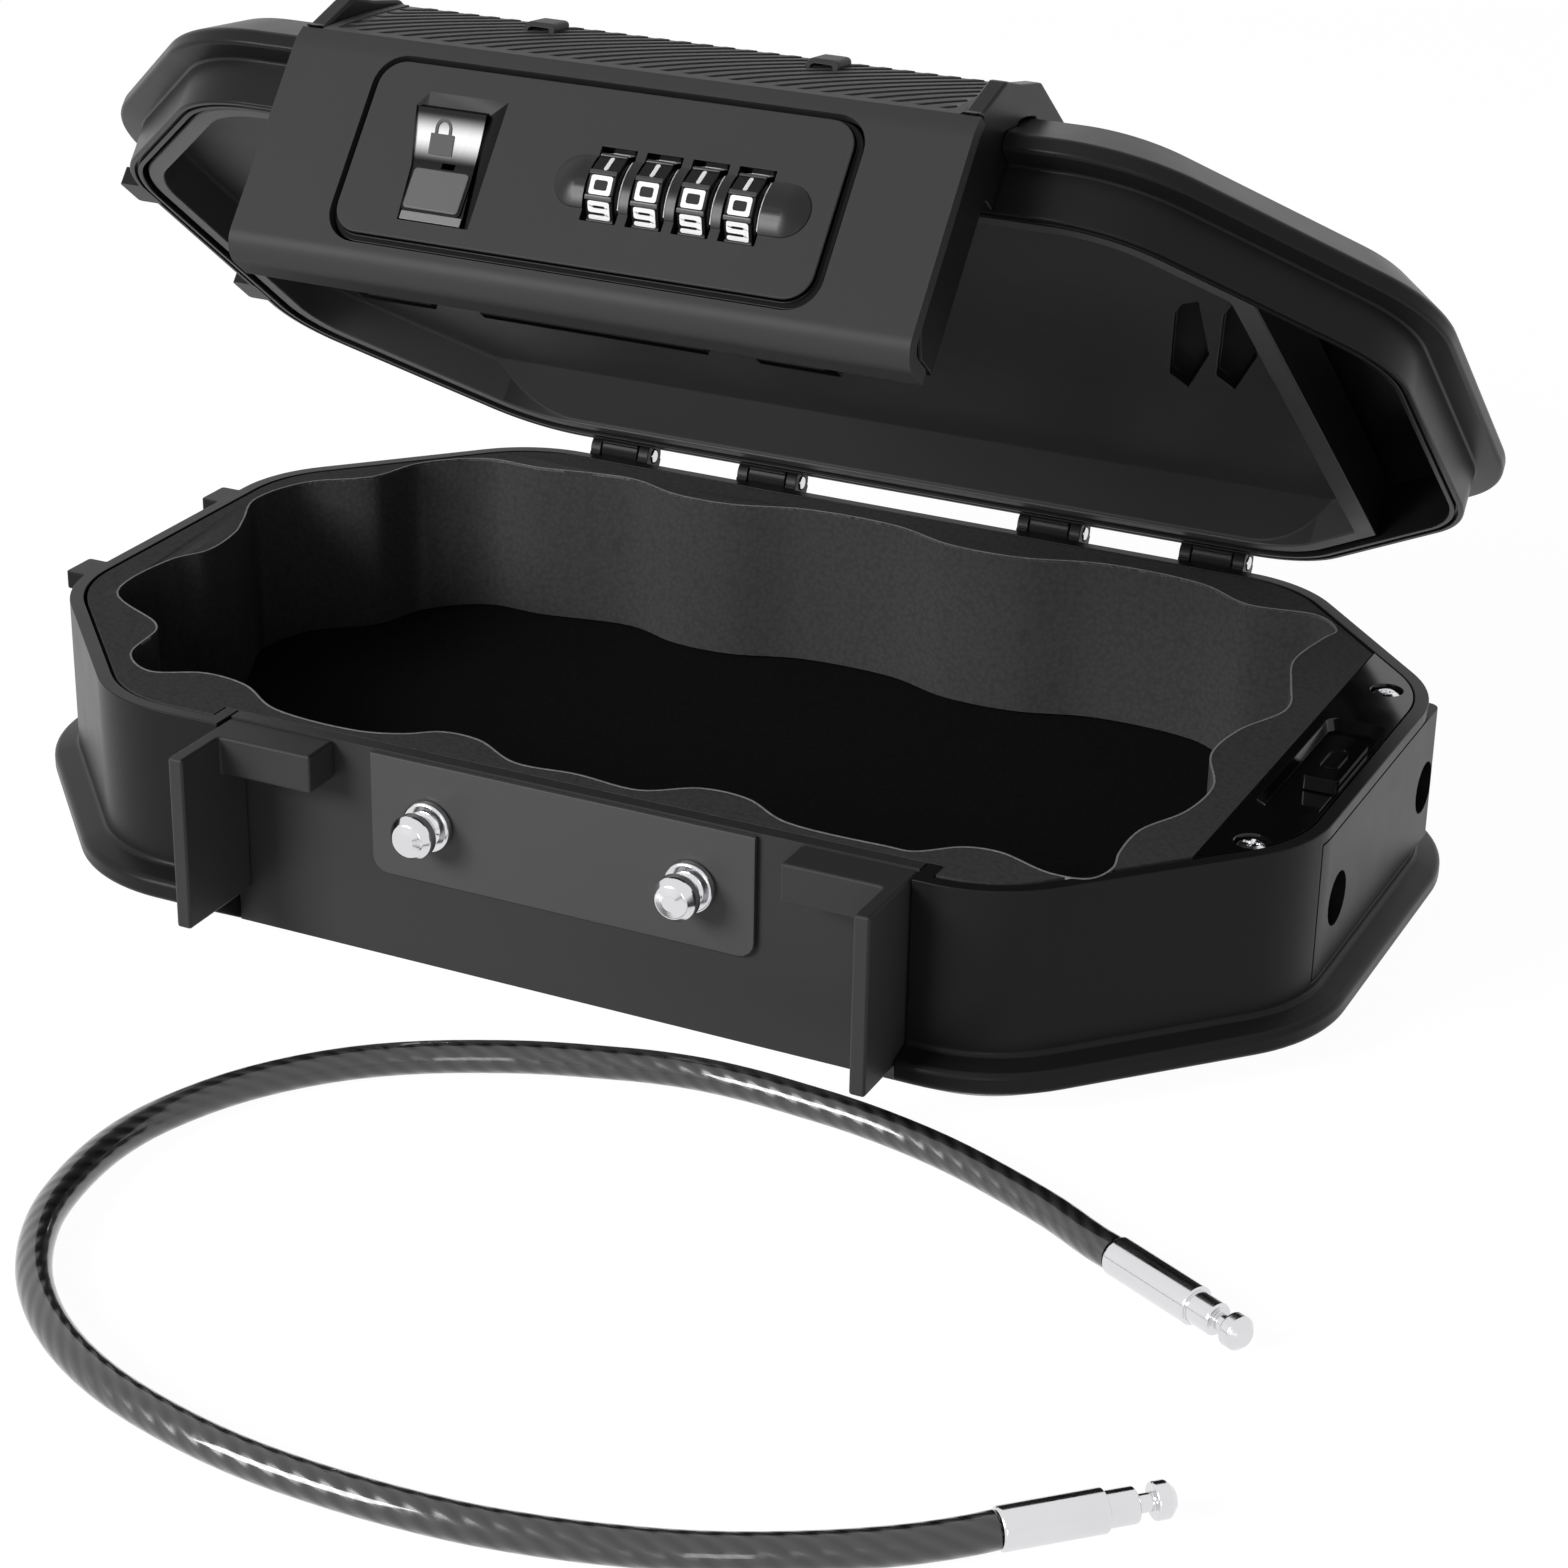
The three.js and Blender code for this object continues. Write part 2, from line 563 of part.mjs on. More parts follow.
function makeLockBody() {
  const sockets = cableHoleYs.map((y) => rodX(
    cableLock.socketRadius, bodyOuter - cableLock.socketDepth, bodyOuter + overrun, y, cableLock.holeHeight,
    16,
  ));
  const chamber = block(
    keyPlateLeft - gap, keyPlateRight + gap, keyPlateFront - thumb.travel - gap, keyPlateBack + gap,
    cableLock.holeHeight - keyPlate.halfHeight - gap, cableLock.holeHeight + keyPlate.halfHeight + gap,
  );
  const screwHoles = coverScrewPlaces.map(({ x, y }) => rodZ(
    coverScrew.shankRadius + gap, coverBottom - coverScrew.shankLength - gap, coverBottom + overrun, x, y, 12,
  ));
  const top = coverBottom - gap;
  return cut(lockBay(linerBottom, top), [
    ...sockets, chamber, stemSlot(cableLock.holeHeight, top + overrun), ...screwHoles,
  ]);
}
place(safe, 'cable_lock_body', makeLockBody(), finish.shell);

function makeLockCover() {
  const recess = block(
    plan.halfLength - thumbRecess.leftMargin, plan.halfLength - thumbRecess.rightMargin, thumbRecess.front,
    thumbRecess.back, base.height - thumbRecess.depth, base.height + overrun,
  );
  const holes = coverScrewPlaces.flatMap(({ x, y }) => [
    rodZ(coverScrew.shankRadius + gap, coverBottom - overrun, base.height + overrun, x, y, 12),
    rodZ(
      coverScrew.headRadius + gap, base.height - coverScrew.headHeight - gap, base.height + overrun, x, y, 20,
    ),
  ]);
  return cut(lockBay(coverBottom, base.height), [
    recess, stemSlot(coverBottom - overrun, base.height + overrun), ...holes,
  ]);
}
place(safe, 'cable_lock_cover', makeLockCover(), finish.gloss);

function makeCoverScrew({ x, y }) {
  const shaft = coverScrew.shankLength;
  const profile = [
    [0, -shaft], [coverScrew.shankRadius, -shaft], [coverScrew.shankRadius, 0], [coverScrew.headRadius, 0],
    [coverScrew.headRadius, coverScrew.headHeight - gap], [0, coverScrew.headHeight - gap],
  ];
  const top = base.height;
  const slotHalf = coverScrew.driveWidth / 2;
  const reach = coverScrew.headRadius - coverScrew.driveWidth;
  const drive = [
    block(x - reach, x + reach, y - slotHalf, y + slotHalf, top - gap - coverScrew.driveDepth, top + overrun),
    block(x - slotHalf, x + slotHalf, y - reach, y + reach, top - gap - coverScrew.driveDepth, top + overrun),
  ];
  return cut(turned(profile, 16).rotateX(Math.PI / 2).translate(x, y, top - coverScrew.headHeight), drive);
}
coverScrewPlaces.forEach((spot, index) => {
  place(safe, `cover_screw_${index + 1}`, makeCoverScrew(spot), finish.steel);
});

place(safe, 'cable_end_plate', cut(
  block(plateInner, plan.halfLength, endPlateFront, endPlateBack, cableLock.plateBottom, endPlateTop),
  cableHoleYs.map((y) => rodX(
    cableLock.holeRadius, plateInner - overrun, plan.halfLength + overrun, y, cableLock.holeHeight, 20,
  )),
), finish.shell);

place(safe, 'cable_thumb', join([
  block(
    thumbLeft, thumbLeft + thumb.length - gap, thumb.front, thumb.back, base.height - thumbRecess.depth + gap,
    base.height + thumb.proud,
  ),
  block(
    keyPlateLeft, keyPlateRight, stemFront, stemBack, cableLock.holeHeight + keyPlate.halfHeight + gap,
    base.height,
  ),
]), finish.gloss);

function makeKeyPlate() {
  const plate = block(
    keyPlateLeft, keyPlateRight, keyPlateFront, keyPlateBack, cableLock.holeHeight - keyPlate.halfHeight,
    cableLock.holeHeight + keyPlate.halfHeight,
  );
  const keyholes = cableHoleYs.flatMap((y) => [
    rodX(keyPlate.eyeRadius, keyPlateLeft - overrun, keyPlateRight + overrun, y, cableLock.holeHeight, 16),
    block(
      keyPlateLeft - overrun, keyPlateRight + overrun, y, y + thumb.travel + keyPlate.slotHalfWidth,
      cableLock.holeHeight - keyPlate.slotHalfWidth, cableLock.holeHeight + keyPlate.slotHalfWidth,
    ),
  ]);
  return cut(plate, keyholes);
}
place(safe, 'cable_key_plate', makeKeyPlate(), finish.darkSteel);

// Hinges: a pair of ears on the tray, a barrel on the lid and a pin through both
const rearSeat = plan.halfWidth + gap;

function knuckle(x0, x1, leaf) {
  const barrel = rodX(hinge.barrelRadius, x0, x1, hingeY, hingeZ, 20);
  const bore = rodX(hinge.pinRadius + gap, x0 - overrun, x1 + overrun, hingeY, hingeZ, 16);
  return cut(join([barrel, leaf]), [bore]);
}

function makeHingeEars(centre) {
  const left = centre - hinge.width / 2;
  const right = centre + hinge.width / 2;
  const rootTop = hingeZ - hinge.rootTop;
  const root = block(
    left, right, rearSeat, rearSeat + hinge.leafThickness, rootTop - hinge.rootHeight, rootTop,
  );
  const armOutline = [
    [rearSeat, rootTop - hinge.rootHeight / 2],
    [rearSeat + hinge.leafThickness, rootTop - hinge.rootHeight / 2],
    [hingeY + hinge.barrelRadius, hingeZ - hinge.barrelRadius / 2], [hingeY + hinge.barrelRadius / 2, hingeZ],
    [rearSeat, hingeZ],
  ];
  const ears = [[left, left + hinge.earWidth], [right - hinge.earWidth, right]].map(([x0, x1]) => (
    knuckle(x0, x1, alongX(armOutline, x0, x1))
  ));
  return join([root, ...ears]);
}

function makeLidBarrel(centre) {
  const half = hinge.width / 2 - hinge.earWidth - gap;
  const leaf = block(
    centre - half, centre + half, rearSeat, rearSeat + hinge.leafThickness, hingeZ, flangeBottom - gap,
  );
  return knuckle(centre - half, centre + half, leaf);
}

function makePin(centre) {
  const half = hinge.width / 2 + gap;
  return rodX(hinge.pinRadius, centre - half, centre + half, hingeY, hingeZ, 16);
}

hingeOffsets.forEach((centre, index) => {
  place(safe, `hinge_ears_${index + 1}`, makeHingeEars(centre), finish.shell);
  place(safe, `hinge_pin_${index + 1}`, makePin(centre), finish.steel);
  place(lidGroup, `hinge_barrel_${index + 1}`, makeLidBarrel(centre), finish.shell);
});

// Lid shell and its tray
function domeHeight(y) {
  return shoulderTop + lid.domeRise * (y + plan.halfWidth + lid.flare) / (lid.flare + lid.domeInset);
}

function makeLidShell() {
  const skin = planLoft([
    [lid.ceilingInset, domeTop - wall], [wall, shoulderTop - lid.innerDrop], [wall, lidBottom],
    [0, lidBottom],
    [0, flangeBottom], [-lid.flare, flangeBottom + lid.flareRise], [-lid.flare, shoulderTop],
    [lid.domeInset, domeTop],
  ]);
  const tabs = tabBlocks(lidBottom + sideTab.height);
  const seat = block(
    lockX - housingHalf, lockX + housingHalf, wallFront - lid.flare - overrun, wallFront,
    lidBottom - overrun, domeTop + overrun,
  );
  return cut(join([skin, ...tabs]), [seat]);
}
place(lidGroup, 'lid_shell', makeLidShell(), finish.shell);

const trayBottom = lidBottom + lidTray.lipDrop;
const trayTop = trayBottom + lidTray.height;
const trayRight = plan.halfLength - lidTray.endMargin;
const hexPocketPlaces = [leftHex, rightHex].map(({ endMargin, sideMargin }) => (
  { x: trayRight - endMargin, y: sideMargin - plan.halfWidth }
));

function makeLidTray() {
  const filled = planLoft([[trayInset, trayBottom], [trayInset, trayTop]]);
  const rightEnd = block(
    trayRight, plan.halfLength + overrun, -plan.halfWidth, plan.halfWidth, trayBottom - overrun,
    trayTop + overrun,
  );
  const hollow = planLoft([[lidTray.rim, trayBottom - overrun], [lidTray.rim, trayBottom + lidTray.depth]]);
  const rightRim = block(
    trayRight - lidTray.rightRim, plan.halfLength, -plan.halfWidth, plan.halfWidth, trayBottom - 2 * overrun,
    trayTop,
  );
  const slopeOutline = [
    [lidTray.slopeFront, trayBottom + lidTray.depth], [plan.halfWidth, trayBottom + lidTray.slopeRise],
    [plan.halfWidth, trayTop + overrun], [lidTray.slopeFront, trayTop + overrun],
  ];
  const slope = alongX(slopeOutline, -plan.halfLength, plan.halfLength);
  const hexes = hexPocketPlaces.map(({ x, y }) => alongZ([
    [x - hexPocket.halfWidth, y - hexPocket.halfLength + hexPocket.pointLength],
    [x, y - hexPocket.halfLength],
    [x + hexPocket.halfWidth, y - hexPocket.halfLength + hexPocket.pointLength],
    [x + hexPocket.halfWidth, y + hexPocket.halfLength - hexPocket.pointLength],
    [x, y + hexPocket.halfLength],
    [x - hexPocket.halfWidth, y + hexPocket.halfLength - hexPocket.pointLength],
  ], trayBottom + lidTray.depth - overrun, trayBottom + lidTray.depth + hexPocket.depth));
  return cut(filled, [rightEnd, cut(hollow, [rightRim, slope]), ...hexes]);
}
place(lidGroup, 'lid_tray', makeLidTray(), finish.liner);

// Lock housing: front, back plate, cheeks, grip and top band
function makeHousingFront() {
  const front = housingFront;
  const inner = front + housing.thickness;
  const low = housing.bottom;
  const rollTop = low + housing.rollHeight;
  const rollBack = front + housing.rollDepth;
  const lipBack = front + housing.lipDepth;
  const outline = [
    [front, housingTop], [front, rollTop], [front + housing.rollDepth / 4, low + housing.rollHeight / 4],
    [rollBack, low], [lipBack, low], [lipBack, low + housing.thickness],
    [rollBack + housing.thickness / 2, low + housing.thickness], [inner, rollTop + housing.thickness / 2],
    [inner, housingTop],
  ];
  const skin = alongX(outline, lockX - housingHalf, lockX + housingHalf);
  const window = alongY(roundedRectangle(
    lockX - lockPanel.halfLength - gap, lockX + lockPanel.halfLength + gap,
    lockPanelBottom - gap, lockPanelTop + gap,
    lockPanel.cornerRadius + gap, 5,
  ), front - overrun, inner + overrun);
  return cut(skin, [window]);
}
place(lidGroup, 'lock_housing', makeHousingFront(), finish.shell);

const armClear = panelFront - gap - guard.armReach - gap;
const stepBack = strikerFront - gap - backPlate.stepGap;

function makeBackPlate() {
  const half = cheekOuter - housing.cheekWall - gap;
  const step = backPlate.stepHalfLength;
  const thick = backPlate.thickness;
  const outline = [
    [-half, armClear], [-step, armClear], [-step, stepBack], [step, stepBack], [step, armClear],
    [half, armClear],
    [half, armClear - thick], [step - thick, armClear - thick], [step - thick, stepBack - thick],
    [-step + thick, stepBack - thick], [-step + thick, armClear - thick], [-half, armClear - thick],
  ].map(([x, y]) => [lockX + x, y]);
  const slots = studPlaces.map(([, x]) => block(
    x - backPlate.slotHalfWidth, x + backPlate.slotHalfWidth, stepBack - thick - overrun, stepBack + overrun,
    backPlate.bottom - overrun, stud.height + backPlate.slotTop,
  ));
  const lidWall = block(
    lockX - half, lockX + half, wallFront - gap, stepBack + overrun, lidBottom - gap, housingTop + overrun,
  );
  return cut(alongZ(outline.reverse(), backPlate.bottom, housingTop), [...slots, lidWall]);
}
place(lidGroup, 'housing_back', makeBackPlate(), finish.darkSteel);

const bandFront = housingFront + grip.slantDepth + grip.upperDepth;
const bandTop = housingTop + gap + grip.slantRise + grip.upperRise;
const bandBack = bandFront + band.length;
const bandSeat = domeTop + gap;
const cheekTop = housingTop + gap + cheek.frontRise + cheek.kneeRise + cheek.browRise + cheek.rise;

function makeCheek(side) {
  const top = housingTop + gap;
  const seatFront = wallFront - gap;
  const knee = housingFront + gap + cheek.frontDepth + cheek.kneeDepth;
  const outline = [
    [armClear, housing.bottom + housing.thickness + gap], [armClear, lidBottom], [seatFront, lidBottom],
    [seatFront, domeHeight(seatFront) + 2 * gap], [wallFront + lid.domeInset, bandSeat], [bandBack, bandSeat],
    [bandBack - band.endSlope, cheekTop], [knee + cheek.browDepth + cheek.depth, cheekTop],
    [knee + cheek.browDepth, cheekTop - cheek.rise], [knee, cheekTop - cheek.rise - cheek.browRise],
    [housingFront + gap + cheek.frontDepth, top + cheek.frontRise], [housingFront + gap, top],
    [housingFront + housing.thickness + gap, top],
    [housingFront + housing.thickness + gap, housing.bottom + housing.rollHeight + housing.thickness],
    [housingFront + housing.rollDepth + housing.thickness, housing.bottom + housing.thickness + gap],
  ];
  const outer = lockX + side * cheekOuter;
  const thin = outer - side * housing.cheekWall;
  const thick = outer - side * housing.cheekFrame;
  const body = alongX(outline, Math.min(outer, thick), Math.max(outer, thick));
  const inside = block(
    Math.min(thin, thick - side * overrun), Math.max(thin, thick - side * overrun), housingFront - overrun,
    wallFront, 0, top,
  );
  return cut(body, [inside]);
}
place(lidGroup, 'cheek_left', makeCheek(-1), finish.shell);
place(lidGroup, 'cheek_right', makeCheek(1), finish.shell);

const gripHalf = cheekOuter - housing.cheekFrame - gap;

function makeGrip() {
  const front = housingFront + gap;
  const low = housingTop + gap;
  const knee = [housingFront + grip.slantDepth, low + grip.slantRise];
  const outline = [
    [front, low], [front + grip.thickness * 1.5, low],
    [knee[0] + grip.thickness / 2, knee[1] - grip.thickness],
    [bandFront - gap, bandTop - grip.thickness], [bandFront - gap, bandTop], knee,
  ];
  return alongX(outline, lockX - gripHalf, lockX + gripHalf);
}
place(lidGroup, 'grip', makeGrip(), finish.shell);

function makeBand() {
  const inner = bandTop - band.thickness;
  const outline = [
    [bandFront, inner], [bandBack - band.endSlope - band.thickness, inner],
    [bandBack - 2 * band.thickness, bandSeat],
    [bandBack - gap, bandSeat], [bandBack - band.endSlope, bandTop], [bandFront, bandTop],
  ];
  return alongX(outline, lockX - gripHalf, lockX + gripHalf);
}
place(lidGroup, 'top_band', makeBand(), finish.shell);

function makeGripLoop(side) {
  const x = lockX + side * gripLoop.offset;
  const slope = grip.upperRise / grip.upperDepth;
  const back = bandFront - gripLoop.back;
  const front = back - gripLoop.depth;
  const seat = (y) => bandTop - (bandFront - y) * slope + 2 * gap;
  const section = [
    [front, seat(front)], [back, seat(back)], [back, seat(back) + gripLoop.height],
    [front, seat(front) + gripLoop.height],
  ];
  const inside = [
    [front - overrun, seat(front) - overrun], [back + overrun, seat(back) - overrun],
    [back + overrun, seat(back) + gripLoop.height - gripLoop.thickness],
    [front - overrun, seat(front) + gripLoop.height - gripLoop.thickness],
  ];
  const legInner = gripLoop.halfLength - gripLoop.thickness;
  return cut(alongX(section, x - gripLoop.halfLength, x + gripLoop.halfLength), [
    alongX(inside, x - legInner, x + legInner),
  ]);
}
place(lidGroup, 'grip_loop_left', makeGripLoop(-1), finish.shell);
place(lidGroup, 'grip_loop_right', makeGripLoop(1), finish.shell);

// Lock panel with its bezel, dial slots and slide recess
const dialCentres = Array.from({ length: dial.count }, (_, index) => (
  lockX + dial.centre + (index - (dial.count - 1) / 2) * dial.pitch
));
const dialSlots = dialCentres.flatMap((x) => {
  const left = x - dial.width / 2 - dialSlot.side;
  const right = x + dial.width / 2 + dialSlot.side;
  return [
    block(
      left, right, housingFront - overrun, panelDepth + overrun, dialZ - dialSlot.halfHeight,
      dialZ + dialSlot.halfHeight,
    ),
    rodX(dial.radius + gap, left, right, dialY, dialZ, 24),
  ];
});

const camBank = rodX(
  cam.radius + gap, dialCentres[0] - dial.width / 2,
  dialCentres[dial.count - 1] + dial.width / 2 + cam.thickness + 2 * gap, dialY, dialZ, 24,
);

function makeLockPanel() {
  const plate = alongY(roundedRectangle(
    lockX - lockPanel.halfLength, lockX + lockPanel.halfLength, lockPanelBottom, lockPanelTop,
    lockPanel.cornerRadius, 5,
  ), housingFront, panelDepth);
  const recess = block(
    lockX + slide.centre - slide.halfLength, lockX + slide.centre + slide.halfLength, housingFront - overrun,
    panelDepth + overrun, recessBottom, recessTop,
  );
  const ridge = [-1, 0].map((layer) => {
    const inset = layer === 0 ? 0 : bezel.edge;
    const front = layer === 0 ? housingFront - bezel.proud / 2 : housingFront - bezel.proud;
    return alongY(roundedRectangle(
      lockX + bezel.centre - bezel.halfLength + inset, lockX + bezel.centre + bezel.halfLength - inset,
      dialZ - bezel.halfHeight + inset, dialZ + bezel.halfHeight - inset,
      bezel.halfHeight - inset, 6,
    ), front, housingFront + gap);
  });
  return cut(join([plate, ...ridge]), [recess, camBank, ...dialSlots]);
}
place(lidGroup, 'lock_panel', makeLockPanel(), finish.shell);

// Number dials with a code cam beside each, on one axle
function makeDial(x) {
  const half = dial.width / 2;
  const inner = dial.radius - dial.ridge;
  const profile = [
    [axle.radius + gap, -half], [inner, -half], [dial.radius, -half + dial.ridge],
    [dial.radius, half - dial.ridge],
    [inner, half], [axle.radius + gap, half], [axle.radius + gap, -half],
  ];
  return turned(profile, 20).rotateZ(-Math.PI / 2).rotateX(Math.PI / 20).translate(x, dialY, dialZ);
}

function makeCam(x) {
  const left = x + dial.width / 2 + gap;
  const right = left + cam.thickness;
  const disc = rodX(cam.radius, left, right, dialY, dialZ, 20);
  const bore = rodX(axle.radius + gap, left - overrun, right + overrun, dialY, dialZ, 16);
  const notch = block(
    left - overrun, right + overrun, dialY - cam.notchHalfWidth, dialY + cam.notchHalfWidth,
    dialZ + cam.radius - cam.notchDepth, dialZ + cam.radius + overrun,
  );
  return cut(disc, [bore, notch]);
}

dialCentres.forEach((x, index) => {
  place(lidGroup, `dial_${index + 1}`, makeDial(x), finish.dial);
  place(lidGroup, `code_cam_${index + 1}`, makeCam(x), finish.brass);
});

const earLeft = dialCentres[0] - dial.width / 2 - gap - frame.earWidth;
const earRight = dialCentres[dial.count - 1] + dial.width / 2 + gap + cam.thickness + gap;
place(lidGroup, 'dial_axle', rodX(
  axle.radius, earLeft - axle.overhang, earRight + frame.earWidth + axle.overhang, dialY, dialZ, 16,
), finish.steel);

// Lock frame behind the panel, with a saddle at each end of the axle
const frameBack = armClear - backPlate.thickness - gap;
const frameFront = frameBack - frame.thickness;
const frameHalf = cheekOuter - housing.cheekWall - frame.sideClearance;

function makeFrame() {
  const plate = block(
    lockX - frameHalf, lockX + frameHalf, frameFront, frameBack, frame.bottom,
    housingTop - frame.topDrop,
  );
  const earFront = panelDepth + gap;
  const ears = [earLeft, earRight].map((x) => block(
    x, x + frame.earWidth, earFront, frameFront + gap, dialZ - frame.earHalfHeight,
    dialZ + frame.earHalfHeight,
  ));
  const saddles = block(
    earLeft - overrun, earRight + frame.earWidth + overrun, earFront - overrun, dialY,
    dialZ - axle.radius - gap, dialZ + axle.radius + gap,
  );
  const seat = rodX(
    axle.radius + gap, earLeft - overrun, earRight + frame.earWidth + overrun, dialY, dialZ, 16,
  );
  const dialWindow = block(
    earLeft + frame.earWidth, earRight, frameFront - overrun, frameBack + overrun,
    dialZ - dial.radius - gap,
    dialZ + dial.radius + gap,
  );
  const slideWindow = block(
    lockX + slide.centre - slide.stemHalfWidth - gap, lockX + slide.centre + slide.stemHalfWidth + gap,
    frameFront - overrun, frameBack + overrun, slide.buttonBottom,
    slide.buttonBottom + slide.buttonHeight + slide.travel,
  );
  return cut(join([plate, ...ears]), [saddles, seat, dialWindow, slideWindow]);
}
place(lidGroup, 'lock_frame', makeFrame(), finish.darkSteel);

// Thumb slide in its recess, and the latch that it drives
const trayFront = housingFront + slide.traySink;
const trayBack = trayFront + slide.trayThickness;
const stemLow = slide.buttonBottom + (slide.buttonHeight - slide.stemHeight) / 2;

place(lidGroup, 'slide_tray', cut(
  block(
    lockX + slide.centre - slide.halfLength + gap, lockX + slide.centre + slide.halfLength - gap, trayFront,
    trayBack,
    recessBottom + gap, recessTop - gap,
  ),
  [block(
    lockX + slide.centre - slide.stemHalfWidth - gap, lockX + slide.centre + slide.stemHalfWidth + gap,
    trayFront - overrun, trayBack + overrun, stemLow - gap, stemLow + slide.stemHeight + slide.travel + gap,
  )],
), finish.gloss);

place(lidGroup, 'thumb_slide', join([
  block(
    lockX + slide.centre - slide.buttonHalfLength, lockX + slide.centre + slide.buttonHalfLength,
    housingFront - slide.buttonProud, trayFront - gap, slide.buttonBottom,
    slide.buttonBottom + slide.buttonHeight,
  ),
  block(
    lockX + slide.centre - slide.stemHalfWidth, lockX + slide.centre + slide.stemHalfWidth,
    trayFront - 2 * gap, frameBack, stemLow, stemLow + slide.stemHeight,
  ),
]), finish.thumb);

const latchBack = stepBack - backPlate.thickness - latch.clearance;
function makeLatch() {
  const front = latchBack - latch.thickness;
  const footRight = -stud.headRadius - latch.clearance;
  const shankRight = footRight - latch.footLength;
  const shankLeft = shankRight - latch.shankWidth;
  const footTop = stud.height - stud.headRadius - latch.clearance;
  const barTop = latch.barBottom + latch.barHeight;
  const [leftX, rightX] = studPlaces.map(([, x]) => x);
  const outline = [
    [leftX + shankLeft, footTop - latch.footHeight], [leftX + footRight, footTop - latch.footHeight],
    [leftX + footRight, footTop], [leftX + shankRight, footTop], [leftX + shankRight, latch.barBottom],
    [rightX + shankLeft, latch.barBottom], [rightX + shankLeft, footTop - latch.footHeight],
    [rightX + footRight, footTop - latch.footHeight], [rightX + footRight, footTop],
    [rightX + shankRight, footTop],
    [rightX + shankRight, barTop], [leftX + shankLeft, barTop],
  ];
  return alongY(outline, front, latchBack);
}
place(lidGroup, 'latch', makeLatch(), finish.darkSteel);

// Loose cable: a plain tube with a stepped fitting on each end
function makeCable() {
  const points = cableRoute.map(([x, y]) => new THREE.Vector3(x, y, cable.lay));
  const path = new THREE.CatmullRomCurve3(points, false, 'centripetal');
  const circle = Array.from({ length: cable.sides }, (_, index) => {
    const angle = 2 * Math.PI * index / cable.sides;
    return new THREE.Vector2(cable.radius * Math.cos(angle), cable.radius * Math.sin(angle));
  });
  const tube = { steps: 60, extrudePath: path, bevelEnabled: false };
  return new THREE.ExtrudeGeometry(new THREE.Shape(circle), tube);
}
place(safe, 'cable', makeCable(), finish.sleeve);

function makeFitting(start, towards) {
  const [x, y] = start;
  const run = new THREE.Vector3(towards[0] - x, towards[1] - y, 0);
  const ferrule = run.length();
  const shaftEnd = ferrule + fitting.shaftLength;
  const neckEnd = shaftEnd + fitting.neckLength;
  const tip = neckEnd + fitting.headLength;
  const edge = fitting.edge;
  const profile = [
    [0, gap], [fitting.ferruleRadius - edge, gap], [fitting.ferruleRadius, gap + edge],
    [fitting.ferruleRadius, ferrule - edge], [fitting.ferruleRadius - edge, ferrule],
    [fitting.shaftRadius, ferrule], [fitting.shaftRadius, shaftEnd - edge],
    [fitting.shaftRadius - edge, shaftEnd], [fitting.neckRadius, shaftEnd], [fitting.neckRadius, neckEnd],
    [fitting.headRadius - edge, neckEnd], [fitting.headRadius, neckEnd + edge],
    [fitting.headRadius, tip - 3 * edge],
    [fitting.headRadius - edge, tip - edge], [fitting.neckRadius, tip], [0, tip],
  ];
  const turn = new THREE.Quaternion().setFromUnitVectors(axisY, run.normalize());
  return turned(profile, 16).applyQuaternion(turn).translate(x, y, cable.lay);
}
place(safe, 'cable_end_a', makeFitting(cableRoute[0], fittingEnds[0]), finish.steel);
place(safe, 'cable_end_b', makeFitting(cableRoute[cableRoute.length - 1], fittingEnds[1]), finish.steel);

export default safe;
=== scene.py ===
"""Portable car safe: the finished look of a foam lined tray with a hinged lid, a number lock and a steel cable.

Shapes are drawn in millimetres with the lid closed. They are turned open with the lid and brought to metres when
they are placed.
"""
import json
import math

import bmesh
import bpy
from mathutils import Matrix, Vector

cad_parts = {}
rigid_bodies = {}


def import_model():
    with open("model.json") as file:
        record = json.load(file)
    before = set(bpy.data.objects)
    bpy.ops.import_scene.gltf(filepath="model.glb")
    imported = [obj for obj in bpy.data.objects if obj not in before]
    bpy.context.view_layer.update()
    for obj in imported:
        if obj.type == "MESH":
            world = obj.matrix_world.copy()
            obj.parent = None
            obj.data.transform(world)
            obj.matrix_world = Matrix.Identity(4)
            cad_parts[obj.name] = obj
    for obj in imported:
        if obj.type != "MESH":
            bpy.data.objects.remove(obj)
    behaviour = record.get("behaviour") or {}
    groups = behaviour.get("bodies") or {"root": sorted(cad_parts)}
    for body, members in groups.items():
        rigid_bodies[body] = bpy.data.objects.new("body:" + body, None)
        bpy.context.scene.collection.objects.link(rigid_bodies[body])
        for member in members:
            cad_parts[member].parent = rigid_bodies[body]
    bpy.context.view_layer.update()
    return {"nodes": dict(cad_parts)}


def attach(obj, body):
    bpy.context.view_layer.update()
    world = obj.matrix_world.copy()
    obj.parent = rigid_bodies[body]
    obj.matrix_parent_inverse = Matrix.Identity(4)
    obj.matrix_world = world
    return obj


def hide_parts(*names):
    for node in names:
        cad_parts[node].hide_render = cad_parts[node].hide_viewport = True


for stray in list(bpy.data.objects):
    bpy.data.objects.remove(stray)
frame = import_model()

MM = 0.001
# The play between parts, and how far a cutting form reaches past what it cuts
GAP, OVER = 0.3, 4

# Camera: where it stands and looks, and the lens as a length on a 36 mm wide sensor
CAMERA_PLACE = Vector((0.3167, -0.6460, 0.3406))
CAMERA_FORWARD = Vector((-0.38729, 0.82303, -0.41548))
CAMERA_ROLL = 1.11
CAMERA_LENS = 83.66
SENSOR_WIDTH = 36

